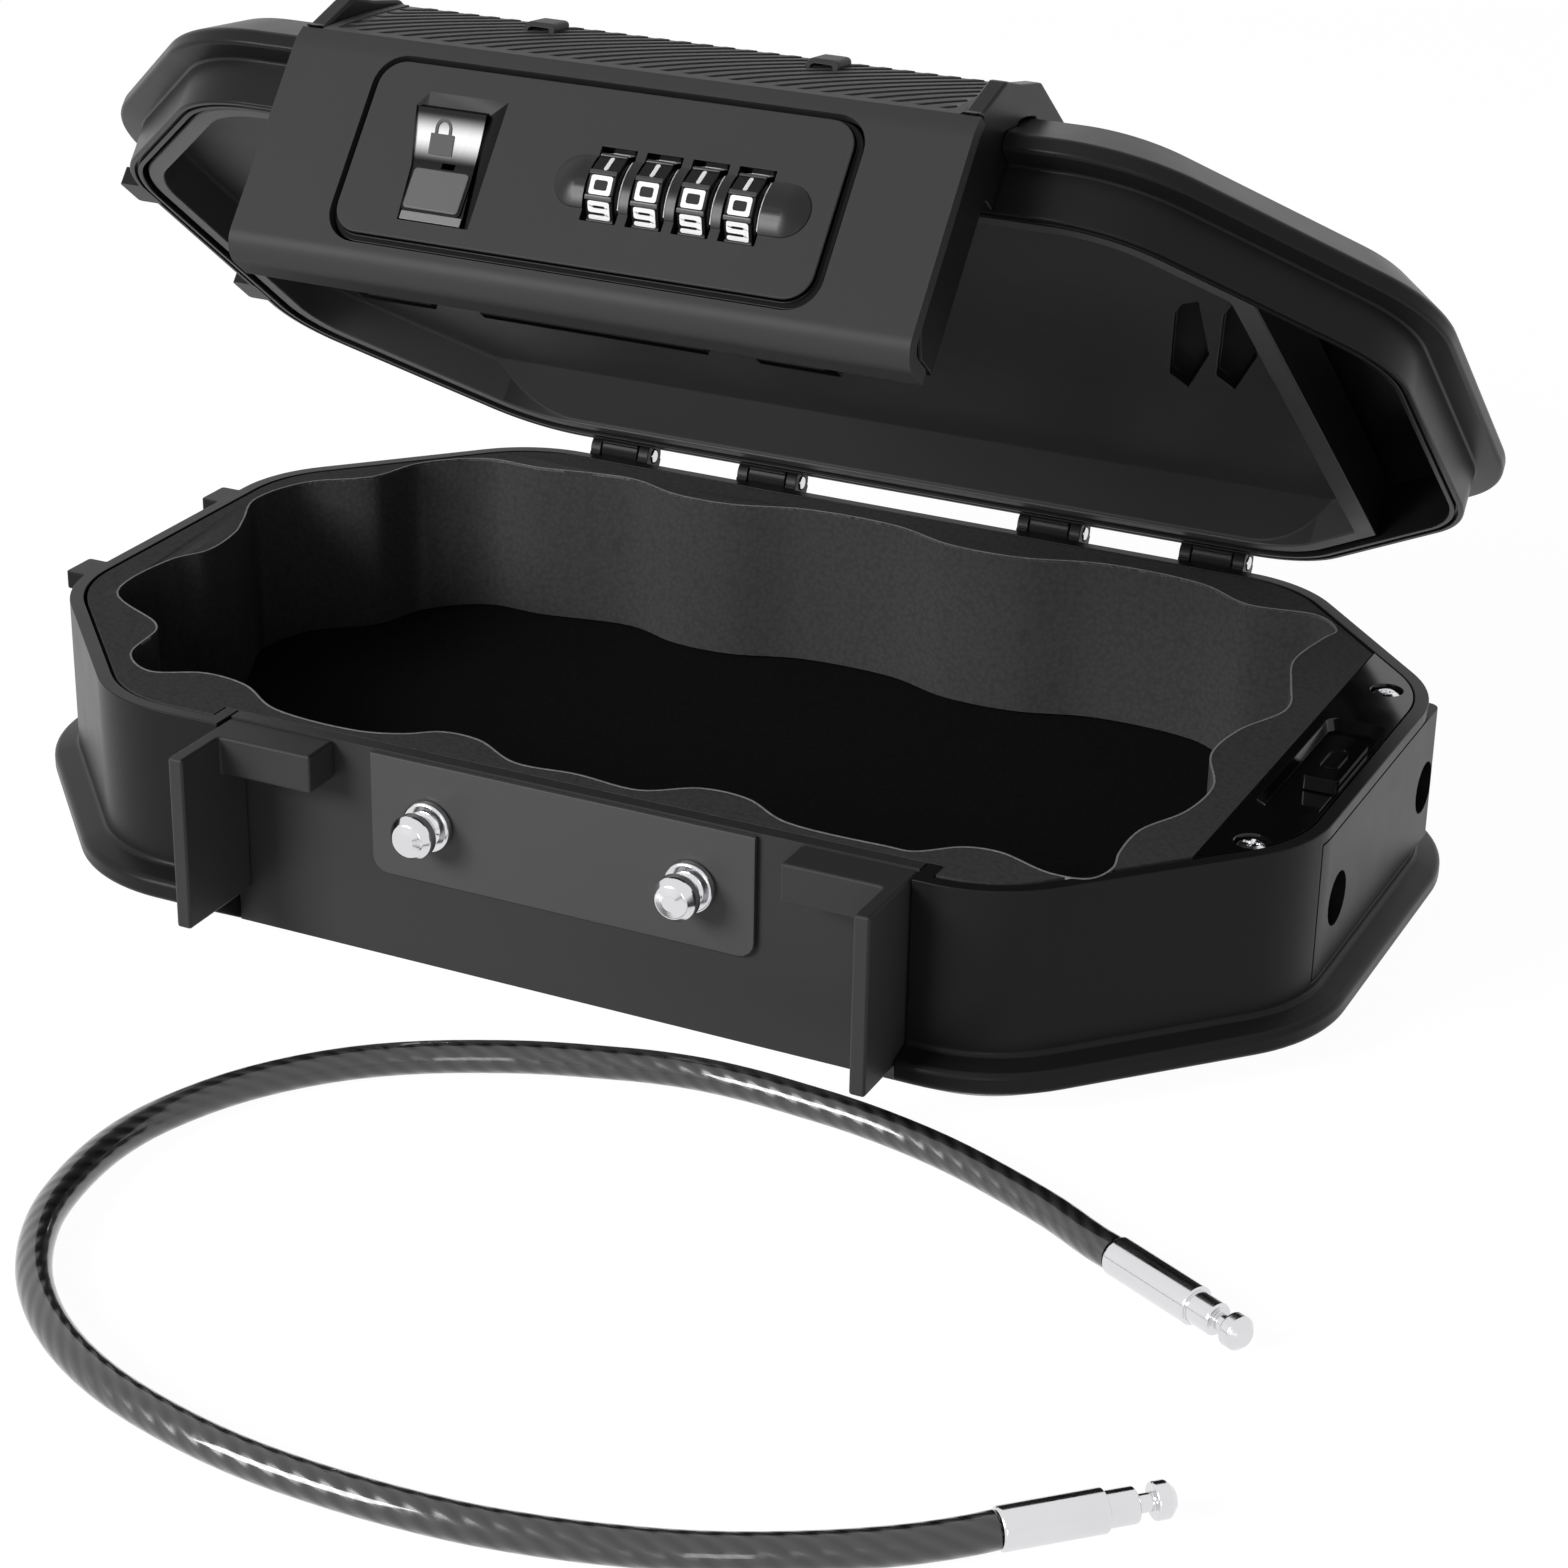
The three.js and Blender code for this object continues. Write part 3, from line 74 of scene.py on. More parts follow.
# Plan of the safe, an octagon with rounded corners
HALF_LENGTH, HALF_WIDTH = 143, 89.5
CHAMFER_LENGTH, CHAMFER_WIDTH, CORNER_RADIUS = 45, 48, 30
END_HALF = HALF_WIDTH - CHAMFER_WIDTH
WALL = 3
BASE_HEIGHT = 46
LOCK_X = 5
PANEL_HALF = 75.8
PANEL_BACK = -81.8
WALL_FRONT = -HALF_WIDTH

# Lid
LID_BOTTOM = 46.8
FLANGE_BOTTOM, SHOULDER_TOP, DOME_TOP = 56.5, 60.3, 68.5
HINGE_Y, HINGE_Z = 93.8, 46.4
LID_ANGLE = math.radians(-38.7)

# Lock housing
HOUSING_FRONT = -108.8
HOUSING_HALF, HOUSING_TOP, HOUSING_LOW = 70.6, 57, 9
PANEL_LOW, PANEL_HIGH, PANEL_HALF_LENGTH, PANEL_CORNER = 15.7, 53, 50.5, 6
DIAL_Y, DIAL_Z, DIAL_RADIUS, DIAL_WIDTH, DIAL_PITCH = -104.2, 33.6, 8, 6.6, 9.4
DIAL_MIDDLE = LOCK_X + 18.1
DIAL_FACES, FACE_TURN = 10, 36
# The wheels rest a little past the middle of a face
DIAL_SETTLE = -10
WHEEL_HALF, SLOT_HALF, SLOT_HALF_HEIGHT = 2.8, 3.7, 7.4
BEZEL_X, BEZEL_HALF_LENGTH, BEZEL_HALF_HEIGHT = LOCK_X + 18.9, 25.85, 5.25
BEZEL_PROUD, BEZEL_EDGE, BEZEL_RINGS = 1.8, 0.25, (0, 0.3, 0.7, 1.2, 1.8, 2.5, 3.3, 4.1, 4.9)
SLIDE_X = LOCK_X - 29.7
RECESS_LOW, RECESS_HIGH = 20.9, 46.9
STUD_XS = (LOCK_X - 29.05, LOCK_X + 29.05)
STUD_FRONT, STUD_Z = -86.4, 32.6

# Cable lock at the right end
LOCK_LEFT = 124.3
COVER_SCREWS = ((132.6, 38.5), (131.6, -44.4))

# Loose cable, as the points that it follows on the floor, in metres
CABLE_RADIUS = 0.0032
CABLE_ROUTE = [
    (0.1389, -0.1293), (0.1344, -0.1270), (0.1240, -0.1208), (0.1115, -0.1151), (0.0995, -0.1106),
    (0.0882, -0.1076), (0.0775, -0.1057), (0.0665, -0.1047), (0.0558, -0.1041), (0.0452, -0.1046),
    (0.0356, -0.1064), (0.0264, -0.1092), (0.0172, -0.1123), (0.0085, -0.1161), (-0.0040, -0.1229),
    (-0.0140, -0.1303), (-0.0225, -0.1392), (-0.0292, -0.1490), (-0.0339, -0.1593), (-0.0368, -0.1696),
    (-0.0376, -0.1799), (-0.0362, -0.1924), (-0.0330, -0.2039), (-0.0262, -0.2164), (-0.0180, -0.2259),
    (-0.0072, -0.2343), (0.0060, -0.2410), (0.0214, -0.2457), (0.0379, -0.2485), (0.0577, -0.2491),
    (0.0754, -0.2478), (0.0870, -0.2457), (0.0984, -0.2427), (0.1129, -0.2375), (0.1265, -0.2306),
    (0.1393, -0.2225), (0.1474, -0.2161), (0.1511, -0.2126),
]
FERRULE_ENDS = ((0.1574, -0.1386), (0.1642, -0.2002))
CABLE_LAY, FITTING_LAY = 0.0033, 0.0038

OPEN = (
    Matrix.Translation((0, HINGE_Y, HINGE_Z)) @ Matrix.Rotation(LID_ANGLE, 4, "X")
    @ Matrix.Translation((0, -HINGE_Y, -HINGE_Z))
)
TO_METRES = Matrix.Scale(MM, 4)
LID_BODIES = {"lid", "dial_one", "dial_two", "dial_three", "dial_four", "lock_slide", "lock_latch"}


def placement(body):
    """From millimetres with the lid closed to the frame's metres with the lid as it stands."""
    return TO_METRES @ OPEN if body in LID_BODIES else TO_METRES


# Materials

def linear(code):
    """An sRGB hex colour as linear red, green, blue and alpha."""
    shares = [int(code[at:at + 2], 16) / 255 for at in (1, 3, 5)]
    return [c / 12.92 if c <= 0.04045 else ((c + 0.055) / 1.055) ** 2.4 for c in shares] + [1.0]


def per(millimetres):
    """The texture scale at which one feature is that many millimetres."""
    return 1 / (millimetres * MM)


def join(tree, node, links):
    """Links a node's inputs to other nodes' sockets, or to the first output where a node is given."""
    for name, source in links.items():
        tree.links.new(source.outputs[0] if isinstance(source, bpy.types.Node) else source, node.inputs[name])


def add_node(tree, kind, settings=None, links=None):
    """Adds a node, sets its options and sockets, and joins its inputs."""
    node = tree.nodes.new("ShaderNode" + kind)
    for name, value in (settings or {}).items():
        if isinstance(name, str) and hasattr(node, name):
            setattr(node, name, value)
        else:
            node.inputs[name].default_value = value
    join(tree, node, links or {})
    return node


def start_material(name, settings):
    """A material with its shader's own sockets set."""
    material = bpy.data.materials.new(name)
    material.use_nodes = True
    tree = material.node_tree
    shader = tree.nodes["Principled BSDF"]
    for socket, value in settings.items():
        shader.inputs[socket].default_value = value
    return material, tree, shader


# How large the clouds of tone and the handled patches are
CLOUD_SIZE, HANDLED_SIZE = 28, 9


def grained(name, dark, light, roughness, spread, grain, depth, specular=0.5, metallic=0.0):
    """A solid finish: two close tones in soft clouds, a roughness that wanders and a fine surface grain."""
    material, tree, shader = start_material(name, {"Specular IOR Level": specular, "Metallic": metallic})
    place = add_node(tree, "TexCoord").outputs["Object"]
    clouds = add_node(tree, "TexNoise", {
        "Scale": per(CLOUD_SIZE), "Detail": 3.0, "Roughness": 0.6,
    }, {"Vector": place})
    tone = add_node(tree, "Mix", {"data_type": "RGBA", 6: linear(dark), 7: linear(light)}, {0: clouds})
    handled = add_node(tree, "TexNoise", {"Scale": per(HANDLED_SIZE), "Detail": 4.0}, {"Vector": place})
    gloss = add_node(tree, "MapRange", {
        "From Min": 0.3, "From Max": 0.7, "To Min": roughness - spread, "To Max": roughness + spread,
    }, {"Value": handled})
    pits = add_node(tree, "TexNoise", {"Scale": per(grain), "Detail": 2.0, "Roughness": 0.5}, {"Vector": place})
    relief = add_node(tree, "Bump", {"Strength": 0.6, "Distance": depth * MM}, {"Height": pits})
    join(tree, shader, {"Base Color": tone.outputs[2], "Roughness": gloss, "Normal": relief})
    return material


# Moulded ABS with a spark eroded skin: a quiet satin black whose highlights break up into fine grain
abs_shell = grained("moulded_abs", "#1c1c1d", "#1e1e1f", 0.34, 0.015, 0.9, 0.015, specular=0.12)
# The same ABS painted lighter on the lock's front and on parts that face the key light, as painted light; its rougher
# skin spreads the highlights into an even grey
abs_front_lit = grained("moulded_abs_painted_light", "#3b3b3c", "#3d3d3e", 0.46, 0.01, 0.9, 0.02, specular=0.12)
# The lid's liner is vacuum formed ABS with a coarser, duller skin
abs_liner = grained("formed_abs_liner", "#464647", "#484849", 0.5, 0.02, 1.1, 0.03, specular=0.2)
# Its rim, in a lighter tone
liner_rim_abs = grained("formed_abs_liner_rim", "#505051", "#535353", 0.45, 0.02, 1.1, 0.03, specular=0.2)
# Powder coated steel: a slight orange peel, about 2 mm across
powder_coat = grained("powder_coated_steel", "#383838", "#3a3a3a", 0.42, 0.01, 2.0, 0.02, specular=0.15)
# The striker plate's coat is a lighter grey
powder_coat_grey = grained("powder_coated_striker", "#4b4b4b", "#4d4d4d", 0.4, 0.01, 2.0, 0.02, specular=0.2)
# The bezel's ABS, buffed to a soft shine
bezel_abs = grained("buffed_abs", "#1c1c1d", "#1f1f20", 0.3, 0.01, 3.0, 0.003, specular=0.25)
# High gloss ABS of the cable lock's cover: black with a clear reflection and faint wipe marks
gloss_abs = grained("polished_abs", "#0a0a0a", "#0d0d0d", 0.12, 0.02, 6.0, 0.005, specular=0.35)
# Polished stainless steel of the studs, pins, screws and fittings: bright, with fine turning marks
stainless = grained("polished_stainless", "#d4d4d6", "#e4e4e6", 0.14, 0.03, 0.6, 0.004, metallic=1.0)
# Blackened steel of the hidden works: dull, with a faint brown-grey oxide
black_oxide = grained("black_oxide_steel", "#1b1b1b", "#222221", 0.45, 0.05, 1.2, 0.02, metallic=1.0)
# Zinc plated steel of the nuts and the key plate
zinc = grained("zinc_plated_steel", "#6d6d6f", "#7d7d80", 0.38, 0.06, 1.2, 0.02, metallic=1.0)
# Brass of the code cams
brass = grained("brass", "#b08d3c", "#bd9a49", 0.3, 0.05, 0.8, 0.01, metallic=1.0)
# Grey ABS of the thumb slide
grey_abs = grained("grey_abs", "#5e5e5e", "#616161", 0.45, 0.01, 0.9, 0.02, specular=0.3)
# The sill under it, the same ABS in a lighter tone
sill_abs = grained("grey_abs_lighter", "#7c7c7c", "#848484", 0.4, 0.02, 0.9, 0.02, specular=0.3)
# Dial wheels: black acetal with a moulded shine
acetal = grained("black_acetal", "#070707", "#0a0a0a", 0.3, 0.02, 1.5, 0.005, specular=0.12)
# The raised ridges between the digits, whose lighter colour is a painted highlight where they catch the light
acetal_ridge_highlight = grained("acetal_ridge_highlight", "#3a3a3a", "#424242", 0.3, 0.02, 1.5, 0.005, specular=0.4)
# White filling paint of the digits
digit_paint = grained("white_paint", "#f4f4f4", "#f8f8f8", 0.5, 0.02, 0.8, 0.01)
# Printed grey of the padlock sign
print_grey = grained("printed_ink", "#4b4b4b", "#505050", 0.6, 0.02, 0.8, 0.01)


def foam_material(name, dark, light):
    """Closed cell foam: matte, with cells of about 1 mm that catch the light as small pits."""
    material, tree, shader = start_material(name, {"Roughness": 0.95, "Specular IOR Level": 0.1})
    place = add_node(tree, "TexCoord").outputs["Object"]
    cells = add_node(tree, "TexVoronoi", {"Scale": per(1.1)}, {"Vector": place})
    tone = add_node(tree, "Mix", {"data_type": "RGBA", 6: linear(light), 7: linear(dark)}, {0: cells})
    relief = add_node(tree, "Bump", {"Strength": 0.5, "Distance": 0.12 * MM}, {"Height": cells})
    join(tree, shader, {"Base Color": tone.outputs[2], "Normal": relief})
    return material


# The insert's matte grey, the pale line along its cut edge, which is a painted highlight, and the black sheet under
# it
foam_skin = foam_material("closed_cell_foam", "#404040", "#4c4c4c")
foam_edge_highlight = foam_material("foam_cut_edge_highlight", "#8c8c8c", "#a4a4a4")
foam_floor = foam_material("foam_floor", "#0d0d0e", "#141415")

# Forms in millimetres

def add_object(name, data):
    thing = bpy.data.objects.new(name, data)
    bpy.context.scene.collection.objects.link(thing)
    return thing


def form(points, faces, name="form"):
    """A mesh object from points and faces, with its faces turned outwards."""
    mesh = bpy.data.meshes.new(name)
    mesh.from_pydata([tuple(p) for p in points], [], faces)
    shape = bmesh.new()
    shape.from_mesh(mesh)
    bmesh.ops.recalc_face_normals(shape, faces=shape.faces)
    shape.to_mesh(mesh)
    shape.free()
    return add_object(name, mesh)


def remove(piece):
    mesh = piece.data
    bpy.data.objects.remove(piece)
    if mesh.users == 0:
        bpy.data.meshes.remove(mesh)


def apply_modifiers(piece):
    graph = bpy.context.evaluated_depsgraph_get()
    graph.update()
    mesh = bpy.data.meshes.new_from_object(piece.evaluated_get(graph))
    piece.modifiers.clear()
    old = piece.data
    piece.data = mesh
    bpy.data.meshes.remove(old)
    return piece


def combine(piece, others, operation):
    """Adds, cuts or keeps other forms, which are used up."""
    for other in others:
        step = piece.modifiers.new("combine", "BOOLEAN")
        step.operation = operation
        step.object = other
        step.solver = "EXACT"
        apply_modifiers(piece)
        remove(other)
    return piece


def carve(piece, *others):
    return combine(piece, others, "DIFFERENCE")


def weld(piece, *others):
    return combine(piece, others, "UNION")


def keep(piece, other):
    return combine(piece, [other], "INTERSECT")


def loft(*strips, closed=False):
    """Skins through rings of the same number of points. Each strip ends in two caps, or closes on itself."""
    points, faces = [], []
    for rings in strips:
        base, rows, count = len(points), len(rings), len(rings[0])
        points += [p for ring in rings for p in ring]
        for row in range(rows if closed else rows - 1):
            here, after = base + row * count, base + (row + 1) % rows * count
            for a in range(count):
                b = (a + 1) % count
                faces.append((here + a, here + b, after + b, after + a))
        if not closed:
            last = base + (rows - 1) * count
            faces += [tuple(range(base, base + count)), tuple(range(last, last + count))]
    return form(points, faces)


AXES = {
    "x": lambda u, v, w: (w, u, v),
    "y": lambda u, v, w: (u, w, v),
    "z": lambda u, v, w: (u, v, w),
}


def prism(outline, low, high, axis):
    """An outline drawn along an axis."""
    turn = AXES[axis]
    return loft([[turn(u, v, w) for u, v in outline] for w in (low, high)])


def block(x0, x1, y0, y1, z0, z1):
    return prism([(x0, y0), (x1, y0), (x1, y1), (x0, y1)], z0, z1, "z")


def rounded(points, radius=0.0, steps=5, closed=True):
    """The corners of an outline as arcs. A point may carry its own radius as a third number."""
    out = []
    count = len(points)
    for index, point in enumerate(points):
        own = point[2] if len(point) > 2 else radius
        here = Vector(point[:2])
        if own == 0 or (not closed and index in (0, count - 1)):
            out.append(tuple(here))
            continue
        back = Vector(points[index - 1][:2]) - here
        ahead = Vector(points[(index + 1) % count][:2]) - here
        half = back.angle(ahead) / 2
        reach = min(own / math.tan(half), back.length * 0.5, ahead.length * 0.5)
        own = reach * math.tan(half)
        middle = here + (back.normalized() + ahead.normalized()).normalized() * own / math.sin(half)
        first = here + back.normalized() * reach - middle
        last = here + ahead.normalized() * reach - middle
        from_angle = math.atan2(first.y, first.x)
        turn = (math.atan2(last.y, last.x) - from_angle + math.pi) % (2 * math.pi) - math.pi
        for step in range(steps + 1):
            angle = from_angle + turn * step / steps
            out.append((middle.x + own * math.cos(angle), middle.y + own * math.sin(angle)))
    return out


def box_outline(u0, u1, v0, v1, radius=0.0, steps=6):
    return rounded([(u0, v0), (u1, v0), (u1, v1), (u0, v1)], radius, steps)


def plan_ring(inset, steps=12):
    """The safe's plan moved in by an inset."""
    straight = HALF_LENGTH - CHAMFER_LENGTH
    corners = [
        (HALF_LENGTH, END_HALF), (straight, HALF_WIDTH), (-straight, HALF_WIDTH), (-HALF_LENGTH, END_HALF),
        (-HALF_LENGTH, -END_HALF), (-straight, -HALF_WIDTH), (straight, -HALF_WIDTH), (HALF_LENGTH, -END_HALF),
    ]
    slope = math.atan2(CHAMFER_LENGTH, CHAMFER_WIDTH)
    facing = [
        0, slope, math.pi / 2, math.pi - slope, math.pi, math.pi + slope, 1.5 * math.pi, 2 * math.pi - slope,
        2 * math.pi,
    ]
    points = []
    for index, (x, y) in enumerate(corners):
        turn = facing[index + 1] - facing[index]
        reach = CORNER_RADIUS / math.cos(turn / 2)
        middle_x = x - reach * math.cos(facing[index] + turn / 2)
        middle_y = y - reach * math.sin(facing[index] + turn / 2)
        for step in range(steps + 1):
            angle = facing[index] + turn * step / steps
            radius = CORNER_RADIUS - inset
            points.append((middle_x + radius * math.cos(angle), middle_y + radius * math.sin(angle)))
    return points


def plan_loft(profile):
    """A skin through plan rings given as (inset, height)."""
    return loft([[(x, y, z) for x, y in plan_ring(inset)] for inset, z in profile])


def lathe(profile, start, along, steps=48):
    """A closed profile of (radius, distance) turned about a line. It starts and ends on the axis."""
    turn = Vector(along).to_track_quat("Z", "Y")
    start = Vector(start)
    points = []
    rings = []
    for radius, distance in profile:
        count = 1 if radius == 0 else steps
        rings.append((len(points), count))
        for step in range(count):
            angle = 2 * math.pi * step / steps
            spot = Vector((radius * math.cos(angle), radius * math.sin(angle), distance))
            points.append(start + turn @ spot)
    faces = []
    for (a, count_a), (b, count_b) in zip(rings, rings[1:]):
        if count_a == count_b == 1:
            continue
        for step in range(steps):
            after = (step + 1) % steps
            if count_a == 1:
                faces.append((a, b + step, b + after))
            elif count_b == 1:
                faces.append((a + step, b, a + after))
            else:
                faces.append((a + step, b + step, b + after, a + after))
    return form(points, faces)


def turned(profile, start, along, steps=48):
    """A turned piece whose profile may carry a radius for each corner."""
    return lathe(rounded(profile, steps=4, closed=False), start, along, steps)


def rod(radius, start, end, steps=32):
    along = Vector(end) - Vector(start)
    return lathe([(0, 0), (radius, 0), (radius, along.length), (0, along.length)], start, along, steps)


def tidy(piece, distance=0.01, flat=0.5):
    """Joins points that meet and dissolves edges inside flat faces."""
    shape = bmesh.new()
    shape.from_mesh(piece.data)
    bmesh.ops.remove_doubles(shape, verts=shape.verts, dist=distance)
    bmesh.ops.dissolve_limit(shape, angle_limit=math.radians(flat), verts=shape.verts, edges=shape.edges)
    shape.to_mesh(piece.data)
    shape.free()


def soften(piece, width, segments=3, angle=28):
    """Rounds the sharp edges, as a mould or a tumbling barrel leaves them."""
    tidy(piece)
    step = piece.modifiers.new("soften", "BEVEL")
    step.width = width
    step.segments = segments
    step.limit_method = "ANGLE"
    step.angle_limit = math.radians(angle)
    step.miter_outer = "MITER_ARC"
    return apply_modifiers(piece)


def shade(piece, angle=32):
    """Smooth shading that keeps sharp edges and leaves flat faces flat."""
    mesh = piece.data
    mesh.shade_smooth()
    mesh.set_sharp_from_angle(angle=math.radians(angle))
    step = piece.modifiers.new("weigh", "WEIGHTED_NORMAL")
    step.keep_sharp = True
    step.weight = 80
    return apply_modifiers(piece)


def finish(piece, name, body, material, nodes=(), angle=32):
    """Shades a form, names it, brings it to its place and hands it to the frame."""
    shade(piece, angle)
    piece.name = name
    piece.data.name = name
    if material:
        piece.data.materials.clear()
        piece.data.materials.append(material)
    piece.data.transform(placement(body))
    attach(piece, body)
    if nodes:
        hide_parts(*nodes)
    return piece


def coat(piece, materials, choose):
    """Gives each face the material that its place calls for."""
    for material in materials:
        piece.data.materials.append(material)
    for face in piece.data.polygons:
        face.material_index = materials.index(choose(face))
    return piece


def plain_copy(node, body):
    """A copy of a CAD node in millimetres with the lid closed."""
    mesh = frame["nodes"][node].data.copy()
    mesh.materials.clear()
    mesh.transform(placement(body).inverted())
    return add_object("copy", mesh)


# Camera

camera = add_object("camera", bpy.data.cameras.new("camera"))
right = CAMERA_FORWARD.cross(Vector((0, 0, 1))).normalized()
up = right.cross(CAMERA_FORWARD).normalized()
facing_in = Matrix((right, up, -CAMERA_FORWARD.normalized())).transposed().to_4x4()
camera.matrix_world = (
    Matrix.Translation(CAMERA_PLACE) @ facing_in @ Matrix.Rotation(math.radians(CAMERA_ROLL), 4, "Z")
)
camera.data.sensor_width = SENSOR_WIDTH
camera.data.lens = CAMERA_LENS
camera.data.clip_start = 0.01
camera.data.clip_end = 20
bpy.context.scene.camera = camera

# Loose cable

def blended(a, b, t, low, high):
    return a * ((high - t) / (high - low)) + b * ((t - low) / (high - low))


def through(points, steps, closed=False):
    """A smooth curve through points, with even knots between unequal spans."""
    points = [Vector(p) for p in points]
    count = len(points)
    out = []
    for index in range(count if closed else count - 1):
        here, after = points[index], points[(index + 1) % count]
        before = points[index - 1] if closed or index > 0 else 2 * here - after
        beyond = points[(index + 2) % count] if closed or index + 2 < count else 2 * after - here
        hull = [before, here, after, beyond]
        knots = [0.0]
        for a, b in zip(hull, hull[1:]):
            knots.append(knots[-1] + (b - a).length ** 0.5)
        for step in range(steps):
            t = knots[1] + (knots[2] - knots[1]) * step / steps
            level = hull
            # Each level blends neighbours, over one span and then over two
            for span in (1, 2):
                level = [
                    blended(a, b, t, knots[i], knots[i + span]) for i, (a, b) in enumerate(zip(level, level[1:]))
                ]
            out.append(blended(*level, t, knots[1], knots[2]))
    if not closed:
        out.append(points[-1])
    return out


def distances(path):
    """How far along a path each of its points is."""
    runs = [0.0]
    for a, b in zip(path, path[1:]):
        runs.append(runs[-1] + (b - a).length)
    return runs


CABLE_SIDES = 24
# The sleeve rises to its fittings over this length, in metres
LAY_REACH = 0.03


def make_cable():
    """The cable's sleeve: a tube that lies on the floor and rises a little into its two fittings."""
    flat = through([(x, y, 0) for x, y in CABLE_ROUTE], 8)
    lengths = distances(flat)
    total = lengths[-1]
    path = []
    for spot, run in zip(flat, lengths):
        share = max(0.0, 1 - min(run, total - run) / LAY_REACH)
        path.append(Vector((spot.x, spot.y, CABLE_LAY + (FITTING_LAY - CABLE_LAY) * share * share)))
    rings = []
    for index, spot in enumerate(path):
        ahead = path[min(index + 1, len(path) - 1)] - path[max(index - 1, 0)]
        side = ahead.cross(Vector((0, 0, 1))).normalized()
        top = side.cross(ahead).normalized()
        turns = [2 * math.pi * step / CABLE_SIDES for step in range(CABLE_SIDES)]
        rings.append([spot + CABLE_RADIUS * (side * math.cos(turn) + top * math.sin(turn)) for turn in turns])
    piece = loft(rings)
    # Each corner knows how far along and how far round the rope it is
    winding = piece.data.uv_layers.new(name="Winding")
    for face in piece.data.polygons:
        steps = [piece.data.loops[i].vertex_index % CABLE_SIDES for i in face.loop_indices]
        wraps = max(steps) - min(steps) > CABLE_SIDES / 2
        for i, step in zip(face.loop_indices, steps):
            row = piece.data.loops[i].vertex_index // CABLE_SIDES
            around = (step + (CABLE_SIDES if wraps and step < CABLE_SIDES / 2 else 0)) / CABLE_SIDES
            winding.data[i].uv = (lengths[row], around)
    return piece, path, total


# Seven strands that go once round the rope in 34 mm, drawn wide enough to show
STRANDS, LAY_LENGTH = 7.0, 34


def sleeve_material():
    """Clear dark PVC over a stranded steel rope: slanting strands show through a glossy coat."""
    material, tree, shader = start_material("pvc_sleeve", {
        "Roughness": 0.3, "Coat Weight": 1.0, "Coat Roughness": 0.06, "Coat IOR": 1.5,
    })
    lay = add_node(tree, "UVMap", {"uv_map": "Winding"})
    split = add_node(tree, "SeparateXYZ", {}, {0: lay})
    along = add_node(tree, "Math", {"operation": "MULTIPLY", 1: per(LAY_LENGTH)}, {0: split})
    both = add_node(tree, "Math", {"operation": "ADD"}, {0: along, 1: split.outputs[1]})
    strands = add_node(tree, "Math", {"operation": "MULTIPLY", 1: STRANDS * 2 * math.pi}, {0: both})
    wave = add_node(tree, "Math", {"operation": "SINE"}, {0: strands})
    share = add_node(tree, "MapRange", {"From Min": -1.0, "From Max": 1.0}, {"Value": wave})
    tone = add_node(tree, "Mix", {"data_type": "RGBA", 6: linear("#0c0c0d"), 7: linear("#2e2e30")}, {0: share})
    relief = add_node(tree, "Bump", {"Strength": 0.5, "Distance": 0.25 * MM}, {"Height": share})
    join(tree, shader, {"Base Color": tone.outputs[2], "Normal": relief})
    return material


sleeve, cable_path, cable_length = make_cable()
sleeve.name = sleeve.data.name = "cable_sleeve"
sleeve.data.shade_smooth()
sleeve.data.set_sharp_from_angle(angle=math.radians(60))
sleeve.data.materials.append(sleeve_material())
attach(sleeve, "security_cable")
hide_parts("cable")


def make_fitting(start, end, name, node):
    """A turned steel end: ferrule, shaft, groove and head."""
    start = Vector((*start, FITTING_LAY)) / MM
    end = Vector((*end, FITTING_LAY)) / MM
    run = (end - start).length
    shaft, neck, tip = run + 5.3, run + 8.1, run + 11.7
    piece = turned([
        (0, GAP, 0), (3.65, GAP, 0.7), (3.65, run, 0.5), (3.0, run, 0.15), (3.0, shaft, 0.5), (1.55, shaft, 0.2),
        (1.55, neck, 0.2), (3.15, neck, 0.5), (3.15, tip - 1.2, 0.9), (1.9, tip, 0.5), (0, tip, 0),
    ], start, end - start)
    return finish(piece, name, "security_cable", stainless, [node])


cable_ends = [
    make_fitting(CABLE_ROUTE[0], FERRULE_ENDS[0], "cable_fitting_a", "cable_end_a"),
    make_fitting(CABLE_ROUTE[-1], FERRULE_ENDS[1], "cable_fitting_b", "cable_end_b"),
]

# Tray

NOTCH_HALF = PANEL_HALF + GAP
RETURN_HALF = NOTCH_HALF + WALL
PANEL_SEAT = PANEL_BACK + GAP
TAB_YS, TAB_HALF, TAB_LEFT, TAB_RIGHT, TAB_THICK = (-30, 23), 4.5, -147.5, -141.5, 4
FLOOR_THICK = 4
# The end plate's window, in y and z, and the plate's own back edge
WINDOW, PLATE_BACK = (-34.3, 44.3, 13.7, 43.3), 43.2


def side_tabs(low):
    """The two small tabs on the left end."""
    return [prism(
        box_outline(TAB_LEFT, TAB_RIGHT, y - TAB_HALF, y + TAB_HALF, 0.8, 3), low, low + TAB_THICK, "z",
    ) for y in TAB_YS]


